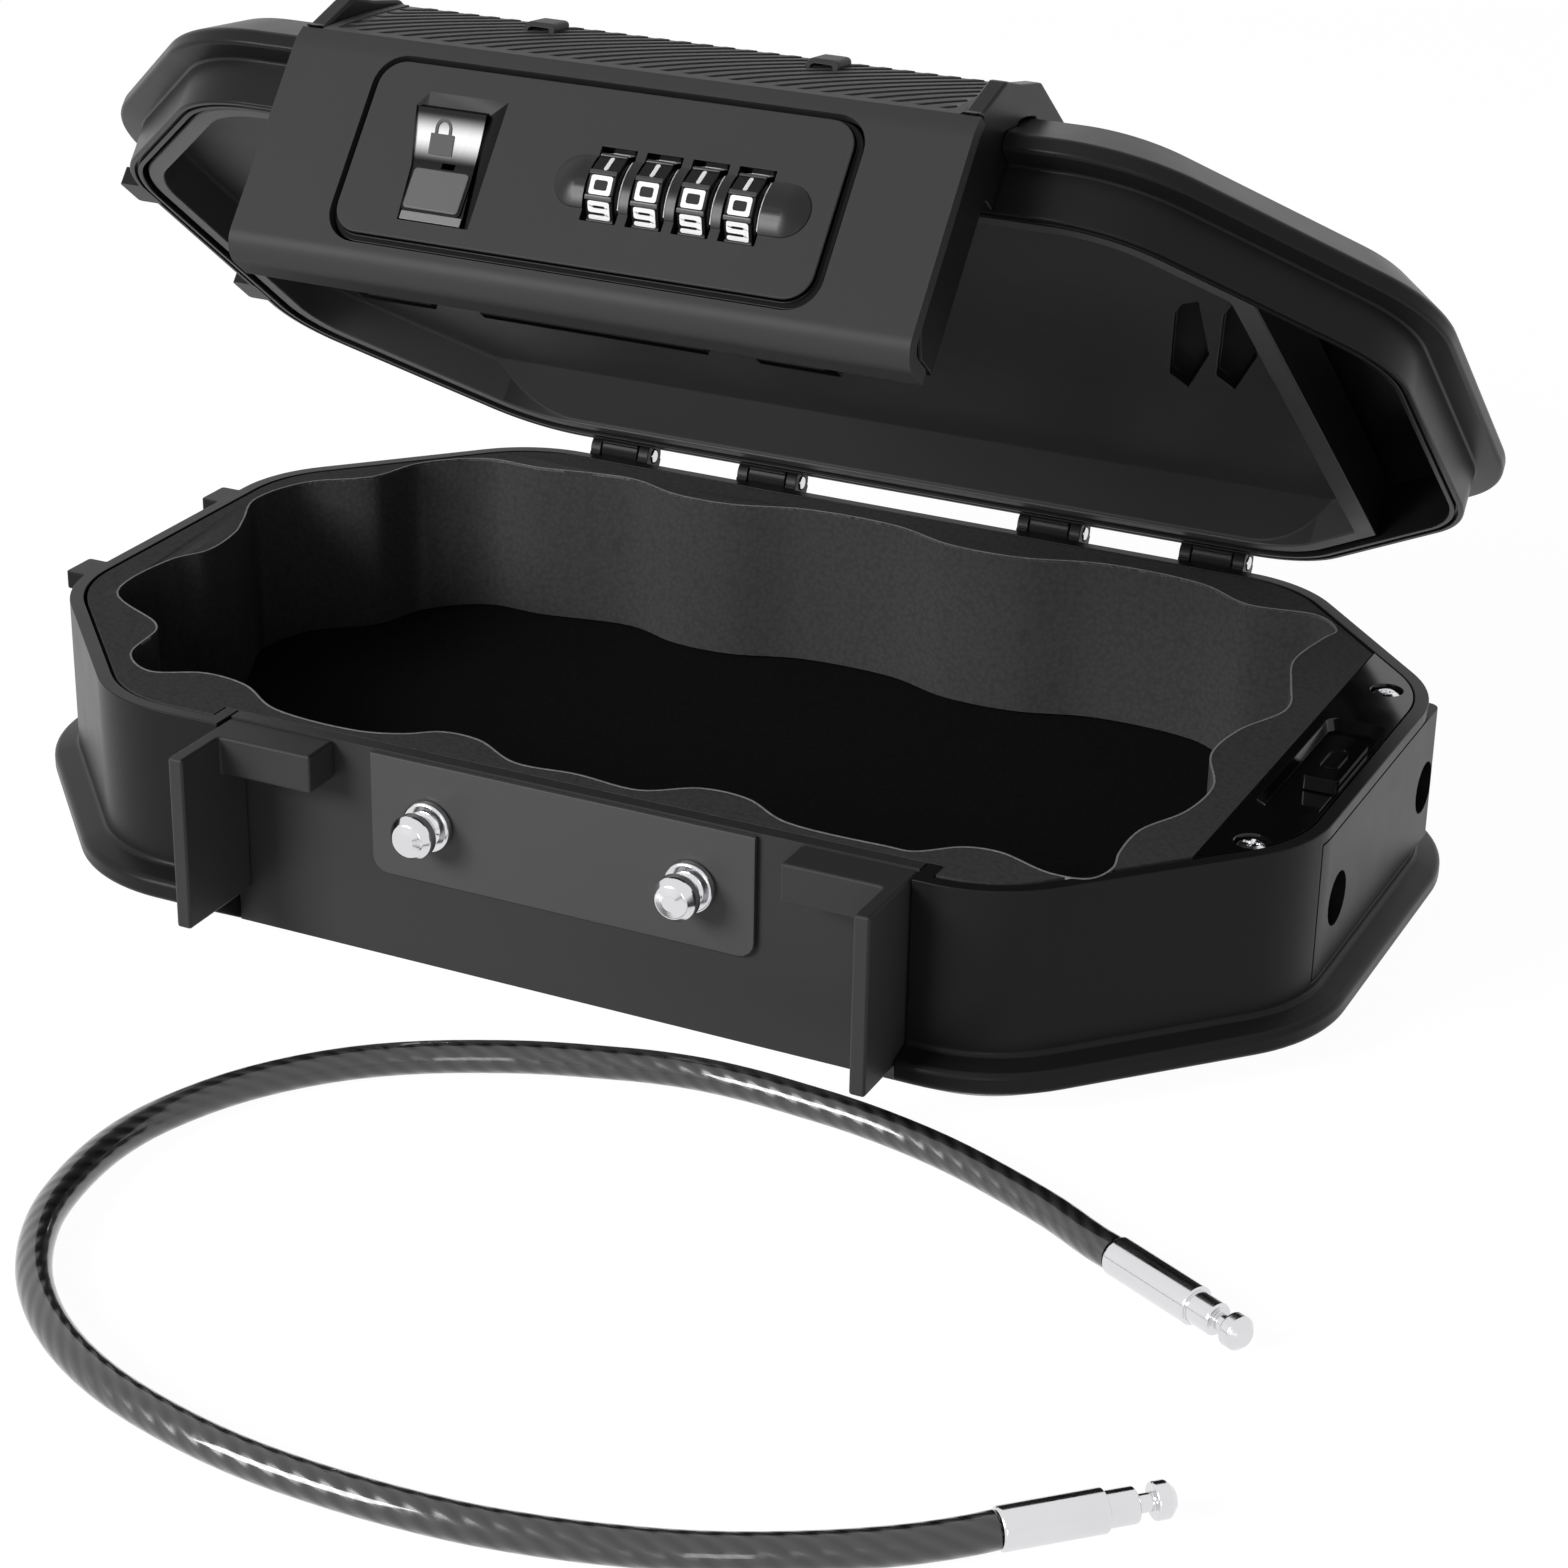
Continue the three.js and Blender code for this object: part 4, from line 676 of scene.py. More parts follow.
def make_tray_shell():
    """The tray: a flared skirt, a notch for the front plate and a window for the cable lock's end plate."""
    outside = plan_loft(rounded([
        (8, 0, 0), (5.5, 0, 1.5), (-5.5, 6.5, 1.5), (-5.5, 10.3, 1.6), (0, 11.7, 1.2), (0, BASE_HEIGHT, 0),
    ], steps=5, closed=False))
    hollow = plan_loft([(WALL, FLOOR_THICK), (WALL, BASE_HEIGHT + OVER)])
    for side in (-1, 1):
        inner, outer = LOCK_X + side * NOTCH_HALF, LOCK_X + side * RETURN_HALF
        carve(hollow, block(
            min(inner, outer), max(inner, outer), WALL_FRONT - OVER, PANEL_SEAT, -OVER, BASE_HEIGHT + 2 * OVER,
        ))
    notch = block(
        LOCK_X - NOTCH_HALF, LOCK_X + NOTCH_HALF, WALL_FRONT - 3 * OVER, PANEL_SEAT, -OVER, BASE_HEIGHT + OVER,
    )
    window = block(HALF_LENGTH - WALL - OVER, HALF_LENGTH + OVER, *WINDOW)
    weld(outside, *side_tabs(BASE_HEIGHT - TAB_THICK))
    carve(outside, hollow, notch, window)
    return soften(outside, 0.45, 3, 40)


finish(make_tray_shell(), "tray_shell", "base", abs_shell, ["base_shell"])

for node, body, width, material, slot in (
    ("front_panel", "base", 0.35, powder_coat, "front_steel"),
    ("striker_plate", "base", 0.25, powder_coat_grey, "striker_steel"),
    ("guard_bracket_left", "base", 0.6, abs_front_lit, "shell_plastic"),
    ("guard_bracket_right", "base", 0.6, abs_front_lit, "shell_plastic"),
    ("housing_back", "lid", 0.3, black_oxide, "dark_steel"),
    ("lock_frame", "lid", 0.3, black_oxide, "dark_steel"),
    ("latch", "lock_latch", 0.4, black_oxide, "dark_steel"),
    ("top_band", "lid", 0.7, abs_shell, "shell_plastic"),
    *[(f"hinge_ears_{n}", "base", 0.3, abs_shell, "shell_plastic") for n in (1, 2, 3, 4)],
    *[(f"hinge_pin_{n}", "base", 0.25, stainless, "polished_steel") for n in (1, 2, 3, 4)],
    *[(f"hinge_barrel_{n}", "lid", 0.3, abs_shell, "shell_plastic") for n in (1, 2, 3, 4)],
):
    finish(soften(plain_copy(node, body), width), f"{node}_eased", body, material, [node])

# The end plate follows the tray's wall at its front, and has an eased edge at its back
plate_outline = sorted([p for p in plan_ring(0.02) if p[0] > 100 and p[1] < 0], key=lambda p: p[1])
plate_outline += rounded([
    (HALF_LENGTH, 0, 0), (HALF_LENGTH, PLATE_BACK, 2.4), (100, PLATE_BACK, 0),
], closed=False)
end_plate = keep(plain_copy("cable_end_plate", "base"), prism(plate_outline, 0, BASE_HEIGHT + OVER, "z"))
finish(soften(end_plate, 0.3), "cable_end_plate_eased", "base", abs_shell, ["cable_end_plate"])

for nodes, material in (
    (("stud_nut_left", "stud_nut_right", "cable_key_plate"), zinc),
    (("cable_lock_body",), abs_shell),
    (tuple(f"code_cam_{n}" for n in (1, 2, 3, 4)), brass),
    (("dial_axle",), stainless),
):
    for node in nodes:
        mesh = frame["nodes"][node].data
        mesh.materials.clear()
        mesh.materials.append(material)

for side, x in zip(("left", "right"), STUD_XS):
    # Flanged locking stud with a waist and a domed head
    stud = turned([
        (0, -8.4, 0), (2.5, -8.4, 0.3), (2.5, 0, 0), (5.35, 0, 0.3), (5.35, 1.8, 0.7), (3.6, 1.8, 0.3),
        (2.9, 2.4, 0.3), (2.9, 4.7, 0.2), (4.7, 4.7, 0.6), (4.7, 6.9, 1.4), (3.4, 8.6, 0.8), (1.6, 9.0, 0.6),
        (0, 9.0, 0),
    ], (x, STUD_FRONT, STUD_Z), (0, -1, 0), 64)
    finish(stud, f"locking_stud_{side}", "base", stainless, [f"stud_{side}"])

# Foam

POCKET_SHARES = [
    (-0.91, -0.44), (-0.79, -0.56), (-0.77, -0.6), (-0.75, -0.75), (-0.69, -0.815), (-0.615, -0.765),
    (-0.54, -0.78), (-0.455, -0.866), (-0.31, -0.883), (-0.25, -0.85), (-0.205, -0.8), (-0.147, -0.8),
    (-0.063, -0.871), (0.03, -0.861), (0.13, -0.871), (0.2, -0.8), (0.27, -0.8), (0.35, -0.87), (0.5, -0.878),
    (0.535, -0.875), (0.59, -0.805), (0.637, -0.793), (0.72, -0.838), (0.77, -0.825), (0.785, -0.76),
    (0.776, -0.68), (0.776, -0.555), (0.81, -0.42), (0.815, -0.27), (0.776, -0.106), (0.783, 0.05),
    (0.817, 0.19), (0.817, 0.25), (0.797, 0.35), (0.77, 0.5), (0.783, 0.676), (0.79, 0.726), (0.748, 0.8),
    (0.636, 0.788), (0.545, 0.866), (0.38, 0.88), (0.25, 0.82), (0.13, 0.82), (0.02, 0.88), (-0.14, 0.88),
    (-0.26, 0.82), (-0.36, 0.82), (-0.46, 0.872), (-0.622, 0.832), (-0.72, 0.826), (-0.804, 0.715),
    (-0.84, 0.56), (-0.923, 0.436), (-0.951, 0.268), (-0.916, 0.128), (-0.895, 0.04), (-0.888, -0.1),
    (-0.916, -0.2),
]
TRAY_INSET = WALL + GAP
FOAM_INSET = WALL + 0.8
FOAM_LOW, SHEET_LOW, SHEET_HIGH = 8.3, 4.3, 7.7
NUT_RELIEF, NUT_RELIEF_DEPTH = 6.3, 5


def trim_to_tray(piece, right_x):
    """Leaves room for the front's return walls and for the cable lock."""
    half = RETURN_HALF + GAP
    return carve(
        piece,
        block(LOCK_X - half, LOCK_X + half, WALL_FRONT - OVER, PANEL_SEAT, -OVER, BASE_HEIGHT + OVER),
        block(right_x, HALF_LENGTH + OVER, -HALF_WIDTH, HALF_WIDTH, -OVER, BASE_HEIGHT + OVER),
    )


def pocket_edge():
    """The wavy outline of the pocket."""
    return through([(x * HALF_LENGTH, y * HALF_WIDTH, 0) for x, y in POCKET_SHARES], 7, closed=True)


def make_foam():
    """The insert, cut out for the pocket and for the nuts of the studs."""
    sheet = trim_to_tray(plan_loft([(FOAM_INSET, FOAM_LOW), (FOAM_INSET, BASE_HEIGHT)]), LOCK_LEFT - GAP)
    pocket = prism([(p.x, p.y) for p in pocket_edge()], FOAM_LOW - OVER, BASE_HEIGHT + OVER, "z")
    reliefs = [block(
        x - NUT_RELIEF, x + NUT_RELIEF, PANEL_BACK - OVER, PANEL_BACK + NUT_RELIEF_DEPTH, STUD_Z - NUT_RELIEF,
        STUD_Z + NUT_RELIEF,
    ) for x in STUD_XS]
    carve(sheet, pocket, *reliefs)
    return soften(sheet, 0.9, 3, 60)


RIM_WIDTH, RIM_RISE, RIM_SINK = 0.4, 0.06, 0.6


def make_pocket_rim():
    """A painted highlight along the pocket's cut edge: a narrow pale band along the rim of the foam."""
    edge = pocket_edge()
    rings = []
    for index, spot in enumerate(edge):
        ahead = (edge[(index + 1) % len(edge)] - edge[index - 1]).normalized()
        outward = Vector((-ahead.y, ahead.x, 0))
        if outward.dot(spot) < 0:
            outward = -outward
        rings.append([
            spot + outward * reach + Vector((0, 0, BASE_HEIGHT + z))
            for reach, z in ((0, -RIM_SINK), (0, RIM_RISE), (RIM_WIDTH, RIM_RISE), (RIM_WIDTH, -RIM_SINK))
        ])
    return loft(rings, closed=True)


def make_floor_sheet():
    """The thin black sheet that lies under the insert."""
    sheet = trim_to_tray(plan_loft([(TRAY_INSET, SHEET_LOW), (TRAY_INSET, SHEET_HIGH)]), LOCK_LEFT - GAP)
    return soften(sheet, 0.5, 3, 40)


for make, name, material, node in (
    (make_pocket_rim, "foam_pocket_rim_highlight", foam_edge_highlight, "foam_insert"),
    (make_foam, "foam_insert_cut", foam_skin, "foam_insert"),
    (make_floor_sheet, "foam_floor_sheet", foam_floor, "floor_liner"),
):
    piece = finish(make(), name, "base", material, [node])

# Cable lock

COVER_LOW = 43.3
THUMB_LEFT, THUMB_RIGHT, THUMB_FRONT, THUMB_BACK, THUMB_TOP = 131, 138.7, -13.5, 6.3, 47.3
THUMB_STEM = (131.3, 133.8, -2.2, 5.8, 32.9, 45)
# The dish round the thumb block, how its wall moves in with the height over its floor, and the stem's slot
DISH_LEFT, DISH_RIGHT, DISH_FRONT, DISH_BACK, DISH_CORNER, DISH_DEPTH = 126.2, 139.0, -28, 20, 2.6, 1.9
DISH_FLOOR = BASE_HEIGHT - DISH_DEPTH
DISH_WALL = ((1.5, DISH_FLOOR), (1.1, DISH_FLOOR + 0.15), (0.2, BASE_HEIGHT - 0.3), (-0.4, BASE_HEIGHT + 1))
STEM_SLOT = (131.0, 134.1, -8.5, 6.1)
# A screw's bore and counterbore, as (radius, height), and the height at which heads and thumb block sit
SCREW_BORE = (
    (0, COVER_LOW - OVER), (1.6, COVER_LOW - OVER), (1.6, 44.1), (3.3, 44.1), (3.3, 45.8), (3.9, 46.4), (0, 46.4),
)
SEAT_Z = 44.4


def make_cover():
    """The glossy cover, with a dished recess for the thumb block and a counterbore for each screw."""
    bay = plan_loft([(TRAY_INSET, COVER_LOW), (TRAY_INSET, BASE_HEIGHT)])
    carve(bay, block(-HALF_LENGTH - OVER, LOCK_LEFT, -HALF_WIDTH, HALF_WIDTH, 0, BASE_HEIGHT + OVER))
    dish = loft([
        [(x, y, z) for x, y in box_outline(
            DISH_LEFT + inset, DISH_RIGHT - inset, DISH_FRONT + inset * 2, DISH_BACK - inset * 2, DISH_CORNER, 5,
        )] for inset, z in DISH_WALL
    ])
    slot = block(*STEM_SLOT, COVER_LOW - OVER, BASE_HEIGHT + OVER)
    carve(bay, dish, slot, *[lathe(SCREW_BORE, (x, y, 0), (0, 0, 1), 40) for x, y in COVER_SCREWS])
    return soften(bay, 0.35, 3, 35)


finish(make_cover(), "lock_cover", "base", gloss_abs, ["cable_lock_cover"])

for index, (x, y) in enumerate(COVER_SCREWS):
    # Pan head with a cross recess
    head = turned([
        (0, -9, 0), (1.3, -9, 0.3), (1.3, 0, 0), (3, 0, 0.2), (3, 0.7, 0.8), (1.6, 1.3, 0.8), (0, 1.3, 0),
    ], (x, y, SEAT_Z), (0, 0, 1), 40)
    for wide, deep in ((2.1, 0.5), (0.5, 2.1)):
        carve(head, loft([
            [(x + u * wide * s, y + v * deep * s, z) for u, v in ((-1, -1), (1, -1), (1, 1), (-1, 1))]
            for s, z in ((0.55, 44.9), (1.0, 46.2))
        ]))
    soften(head, 0.12, 2, 40)
    finish(head, f"cross_screw_{index + 1}", "base", stainless, [f"cover_screw_{index + 1}"])


def make_thumb_block():
    """The sliding block of the cable lock, with an oval groove on its top."""
    top = prism(box_outline(THUMB_LEFT, THUMB_RIGHT, THUMB_FRONT, THUMB_BACK, 0.9, 4), SEAT_Z, THUMB_TOP, "z")
    x, y = (THUMB_LEFT + THUMB_RIGHT) / 2, (THUMB_FRONT + THUMB_BACK) / 2
    groove, island = [
        prism(box_outline(x - across, x + across, y - along, y + along, across - 0.05, 10), low, high, "z")
        for across, along, low, high in (
            (2.1, 5, THUMB_TOP - 0.35, THUMB_TOP + 1), (1.6, 4.5, THUMB_TOP - 1, THUMB_TOP + 2),
        )
    ]
    weld(top, block(*THUMB_STEM))
    carve(top, carve(groove, island))
    return soften(top, 0.4, 3, 40)


finish(make_thumb_block(), "cable_thumb_block", "cable_release", gloss_abs, ["cable_thumb"])

# Lid

def make_lid_shell():
    """The lid: a rim that seats on the tray, the flange and the sloped dome, open at the front for the lock."""
    skin = plan_loft(rounded([
        (10.5, 65.5, 0), (3, 59.8, 0.8), (3, LID_BOTTOM, 0.3), (1.9, LID_BOTTOM, 0.2), (1.9, LID_BOTTOM + 1.2, 0),
        (1.2, LID_BOTTOM + 1.2, 0), (1.2, LID_BOTTOM, 0.2), (0, LID_BOTTOM, 0.5), (0, FLANGE_BOTTOM, 0.6),
        (-5.5, 57.1, 0.9), (-5.5, SHOULDER_TOP, 1.8), (5.5, DOME_TOP, 2.2), (12, DOME_TOP, 0),
    ], steps=4, closed=False))
    weld(skin, *side_tabs(LID_BOTTOM))
    carve(skin, block(
        LOCK_X - HOUSING_HALF, LOCK_X + HOUSING_HALF, WALL_FRONT - 4 * OVER, WALL_FRONT, LID_BOTTOM - OVER,
        DOME_TOP + OVER,
    ))
    return soften(skin, 0.45, 3, 48)


finish(make_lid_shell(), "lid_shell_moulded", "lid", abs_shell, ["lid_shell"])

LINER_LOW, LINER_HIGH, LINER_RIGHT, END_WALL = 47.4, 59.6, 119, 5
# The slanting pockets: their places on the liner, and the outline that both share
HEX_PLACES = ((91.5, -9.7), (102.3, -12.8))
HEX_OUTLINE = ((3.3, -22.1), (7.2, -24.8), (2.9, 3.1), (-6.6, 24.2), (-9.0, 17.6), (0.5, -16.6))
LINER_RIM, LINER_FLOOR, SLOPE_FRONT, SLOPE_LOW = 7.6, 56.9, 71, 48.4
POCKET_LOW, POCKET_FLOOR = 52, 58.9


def make_liner():
    """The lid's inner tray, with its rear slope and two slanting hexagonal pockets."""
    filled = plan_loft(rounded([(30, LINER_LOW, 0), (3.9, LINER_LOW, 0.8), (3.9, LINER_HIGH, 0)], closed=False))
    carve(filled, block(
        LINER_RIGHT, HALF_LENGTH + OVER, -HALF_WIDTH, HALF_WIDTH, LINER_LOW - OVER, LINER_HIGH + OVER,
    ))
    hollow = plan_loft([
        (LINER_RIM, LINER_LOW - OVER), (LINER_RIM, LINER_FLOOR - 0.5), (LINER_RIM + 0.5, LINER_FLOOR),
    ])
    carve(
        hollow, block(LINER_RIGHT - END_WALL, HALF_LENGTH, -HALF_WIDTH, HALF_WIDTH, LINER_LOW - 2 * OVER, LINER_HIGH),
        prism([
            (SLOPE_FRONT, LINER_FLOOR), (HALF_WIDTH - LINER_RIM, SLOPE_LOW), (HALF_WIDTH, SLOPE_LOW),
            (HALF_WIDTH, LINER_HIGH + OVER), (SLOPE_FRONT, LINER_HIGH + OVER),
        ], -HALF_LENGTH, HALF_LENGTH, "x"),
    )
    carve(filled, hollow)
    for x, y in HEX_PLACES:
        carve(filled, prism([(x + u, y + v) for u, v in HEX_OUTLINE], POCKET_LOW, POCKET_FLOOR, "z"))
    return soften(filled, 0.45, 3, 30)


def liner_coat(face):
    """The end wall and the pockets are painted dark as painted shade, the rim is in a lighter tone, and the rear
    slope takes the front's lighter ABS as painted light.
    """
    spot = face.center
    # Painted shade: the right end wall and the pockets are given the shell's darker ABS
    if spot.x > LINER_RIGHT - 0.3 or spot.z > LINER_FLOOR + 0.2:
        return abs_shell
    if spot.z < LINER_LOW + 0.3:
        return liner_rim_abs
    # Painted light: the rear slope is given the lighter front ABS so that it reads as a lit band
    if spot.y > SLOPE_FRONT and face.normal.y < -0.1:
        return abs_front_lit
    return abs_liner


liner = coat(make_liner(), [abs_liner, abs_shell, liner_rim_abs, abs_front_lit], liner_coat)
finish(liner, "lid_liner", "lid", None, ["lid_tray"])

# Lock housing

FOLD, FOLD_START = 1.0, 54
HOUSING_WALL, HOUSING_LIP = 3, 10.5
PANEL_SEAM, PANEL_STEP, PANEL_THICK = 0.55, 1.3, 2.5


def make_housing():
    """The front of the lock: a plate whose lower edge rolls under and whose top starts to lean back."""
    front, inner, lip = HOUSING_FRONT, HOUSING_FRONT + HOUSING_WALL, HOUSING_FRONT + HOUSING_LIP
    roof = HOUSING_LOW + HOUSING_WALL
    outline = rounded([
        (front + FOLD, HOUSING_TOP, 0), (front, FOLD_START, 14), (front, HOUSING_LOW, 5.2),
        (lip, HOUSING_LOW, 0.8), (lip, roof, 0.8), (inner, roof, 2.5), (inner, FOLD_START, 5),
        (inner + FOLD, HOUSING_TOP, 0),
    ], steps=12)
    skin = prism(outline, LOCK_X - HOUSING_HALF, LOCK_X + HOUSING_HALF, "x")
    half = PANEL_HALF_LENGTH + PANEL_SEAM
    carve(skin, prism(box_outline(
        LOCK_X - half, LOCK_X + half, PANEL_LOW - PANEL_SEAM, PANEL_HIGH + PANEL_SEAM, PANEL_CORNER + PANEL_SEAM, 8,
    ), front - OVER, inner + OVER, "y"))
    return soften(skin, 0.45, 3, 40)


finish(make_housing(), "lock_housing_moulded", "lid", abs_front_lit, ["lock_housing"])

GRIP_HALF = 66.4
BAND_FRONT, BAND_TOP = -84.5, 74.4
GRIP_THICK = 2.8
FIELD_HALF, FIELD_START, FIELD_SINK, FIELD_MARGIN = GRIP_HALF - 2.2, 1.4, 0.28, 0.4
RIB_PITCH, RIB_WIDTH, RIB_ANGLE, SHORTEST_RIB = 3.3, 1.5, math.radians(45), 0.6
GRIP_CURVE = through([
    (HOUSING_FRONT + FOLD, HOUSING_TOP, 0), (HOUSING_FRONT + 6.4, 61.6, 0), (HOUSING_FRONT + 12.2, 66.1, 0),
    (HOUSING_FRONT + 18.2, 70.4, 0), (BAND_FRONT - GAP, BAND_TOP, 0),
], 6)


def grip_spot(index, sink):
    """A point of the grip's curve moved in along its normal, as (y, z)."""
    last = len(GRIP_CURVE) - 1
    ahead = (GRIP_CURVE[min(index + 1, last)] - GRIP_CURVE[max(index - 1, 0)]).normalized()
    here = GRIP_CURVE[index]
    return here.x + ahead.y * sink, here.y - ahead.x * sink


def curve_band(first, sink_low, sink_high, half):
    """A slab that follows the grip's curve between two depths."""
    spots = range(first, len(GRIP_CURVE))
    outline = [grip_spot(i, sink_high) for i in spots] + [grip_spot(i, sink_low) for i in reversed(spots)]
    return prism(outline, LOCK_X - half, LOCK_X + half, "x")


def make_grip():
    """The carrying grip over the lock: one curved face with a sunk field in a smooth border."""
    skin = curve_band(0, GRIP_THICK, 0, GRIP_HALF)
    return soften(carve(skin, curve_band(2, FIELD_SINK, -2, FIELD_HALF)), 0.3, 2, 40)


def make_ribs():
    """Slanting ribs that run up the grip's curve, each a strip of its own."""
    runs = distances(GRIP_CURVE)
    total = runs[-1]
    lean = 1 / math.tan(RIB_ANGLE)
    step_x = RIB_PITCH / math.sin(RIB_ANGLE)
    half = RIB_WIDTH / math.sin(RIB_ANGLE) / 2
    reach = FIELD_HALF - half - FIELD_MARGIN
    # Half a rib in section, as (across, sink), from its buried foot to its eased top
    flank = ((half + 0.1, FIELD_SINK + 0.4), (half, 0.12), (half - 0.15, 0.03))
    profile = [(-across, sink) for across, sink in flank] + list(flank[::-1])
    strips = []
    for number in range(int((2 * reach + total * lean) / step_x) + 1):
        foot = -reach - total * lean + number * step_x
        low = max(FIELD_START, (-reach - foot) / lean)
        high = min(total - FIELD_MARGIN, (reach - foot) / lean)
        if high - low < SHORTEST_RIB:
            continue
        rings = []
        for place in [low] + [run for run in runs if low + 0.2 < run < high - 0.2] + [high]:
            index = max(i for i, run in enumerate(runs) if run <= place + 1e-6)
            after = min(index + 1, len(runs) - 1)
            share = (place - runs[index]) / max(runs[after] - runs[index], 1e-6)
            ring = []
            for across, sink in profile:
                y0, z0 = grip_spot(index, sink)
                y1, z1 = grip_spot(after, sink)
                x = LOCK_X + foot + place * lean + across
                ring.append((x, y0 + (y1 - y0) * share, z0 + (z1 - z0) * share))
            rings.append(ring)
        strips.append(rings)
    return loft(*strips)


finish(make_grip(), "carrying_grip", "lid", abs_front_lit, ["grip"])
# The floor of the sunk field between the ribs, painted near black as painted shade
grip_painted_shade = curve_band(2, FIELD_SINK + 0.2, FIELD_SINK - 0.03, FIELD_HALF - 0.15)
finish(grip_painted_shade, "grip_field_painted_shade", "lid", acetal, ["grip"], 25)
finish(make_ribs(), "grip_ribs", "lid", abs_front_lit, ["grip"], 25)

for name in ("cheek_left", "cheek_right"):
    # Each cheek ends where the grip's smooth border starts
    piece = plain_copy(name, "lid")
    half = GRIP_HALF + 0.1
    carve(piece, block(LOCK_X - half, LOCK_X + half, HOUSING_FRONT - OVER, -60, 30, 90))
    finish(soften(piece, 0.9, 3), f"{name}_eased", "lid", abs_shell, [name])

STRAP_REACH, STRAP_YS, STRAP_SLOPE = 30, (-92.4, -87.4), 4.0 / 6.0
for side, name in ((-1, "left"), (1, "right")):
    # A small strap loop that stands on the ribs
    x = LOCK_X + side * STRAP_REACH
    arch = rounded([
        (x - 3.4, -1.2, 0), (x - 3.4, 1.5, 1.6), (x + 3.4, 1.5, 1.6), (x + 3.4, -1.2, 0), (x + 2.3, -1.2, 0),
        (x + 2.3, 0.4, 0.8), (x - 2.3, 0.4, 0.8), (x - 2.3, -1.2, 0),
    ], steps=6)
    strap = loft([
        [(u, y, v + BAND_TOP - (BAND_FRONT - y) * STRAP_SLOPE + GAP) for u, v in arch] for y in STRAP_YS
    ])
    soften(strap, 0.25, 2, 40)
    finish(strap, f"strap_loop_{name}", "lid", abs_front_lit, [f"grip_loop_{name}"])

# Lock panel

DIAL_XS = [DIAL_MIDDLE + (index - 1.5) * DIAL_PITCH for index in range(4)]
SHOULDER_HIGH = 44.0
RECESS_LEFT = (
    (-36.4, RECESS_LOW), (-37.2, 32.1), (-39.7, 41.8), (-40.2, SHOULDER_HIGH), (-38.4, RECESS_HIGH),
)
RECESS_RIGHT, RECESS_REACH = LOCK_X - 21.4, 12
RAMP_HIGH, RAMP_LOW = 4.2, 1.9
RECESS_FLOOR_LOW, RECESS_FLOOR_HIGH = 21.4, 43.9


def recess_ring(inset, depth):
    """The slide's recess: a steep left side, a wide top ramp and a right ramp that narrows downwards."""
    low = RECESS_LOW + (RECESS_FLOOR_LOW - RECESS_LOW) * inset
    high = RECESS_HIGH - (RECESS_HIGH - RECESS_FLOOR_HIGH) * inset
    outline = [(RECESS_RIGHT - RAMP_HIGH * inset, high), (RECESS_RIGHT - RAMP_LOW * inset, low)]
    for u, v in RECESS_LEFT:
        # The shoulder stays a little below the top ramp's edge
        highest = high - 0.3 if v == SHOULDER_HIGH else high
        outline.append((LOCK_X + u, min(max(v, low), highest)))
    return [(u, HOUSING_FRONT + depth, v) for u, v in outline]


def bezel_swell(rise):
    """How far the bezel stands out at a height from its middle."""
    return BEZEL_EDGE + (BEZEL_PROUD - BEZEL_EDGE) * (1 - (rise / BEZEL_HALF_HEIGHT) ** 2)


def make_panel():
    """The inset lock panel: a dark groove round it, the swelling bezel, four dial slots and the slide's recess."""
    front, step, back = HOUSING_FRONT, HOUSING_FRONT + PANEL_STEP, HOUSING_FRONT + PANEL_THICK
    # The groove is narrow at the left and the top, and wide at the right and the bottom
    thin, wide = 0.6, 1.5
    face = prism(box_outline(
        LOCK_X - PANEL_HALF_LENGTH + thin, LOCK_X + PANEL_HALF_LENGTH - wide, PANEL_LOW + wide, PANEL_HIGH - thin,
        PANEL_CORNER - thin, 8,
    ), front, step + 0.2, "y")
    plate = prism(box_outline(
        LOCK_X - PANEL_HALF_LENGTH, LOCK_X + PANEL_HALF_LENGTH, PANEL_LOW, PANEL_HIGH, PANEL_CORNER, 8,
    ), step, back, "y")
    weld(plate, face)
    soften(plate, 0.4, 3, 40)
    rings = []
    for inset in BEZEL_RINGS:
        swell = bezel_swell(BEZEL_HALF_HEIGHT - inset)
        ring = box_outline(
            BEZEL_X - BEZEL_HALF_LENGTH + inset, BEZEL_X + BEZEL_HALF_LENGTH - inset,
            DIAL_Z - BEZEL_HALF_HEIGHT + inset, DIAL_Z + BEZEL_HALF_HEIGHT - inset,
            BEZEL_HALF_HEIGHT - inset - 0.05, 12,
        )
        if inset == 0:
            rings.append([(u, front + 0.5, v) for u, v in ring])
        rings.append([(u, front - swell, v) for u, v in ring])
    weld(plate, loft(rings))
    slots = [block(
        x - SLOT_HALF, x + SLOT_HALF, front - 2 * OVER, back + OVER, DIAL_Z - SLOT_HALF_HEIGHT,
        DIAL_Z + SLOT_HALF_HEIGHT,
    ) for x in DIAL_XS]
    recess = loft([
        recess_ring(inset, depth) for inset, depth in ((1, back - front + OVER), (1, 1.6), (0, 0.0), (0, -OVER))
    ])
    carve(plate, *slots, recess)
    return soften(plate, 0.2, 2, 50)


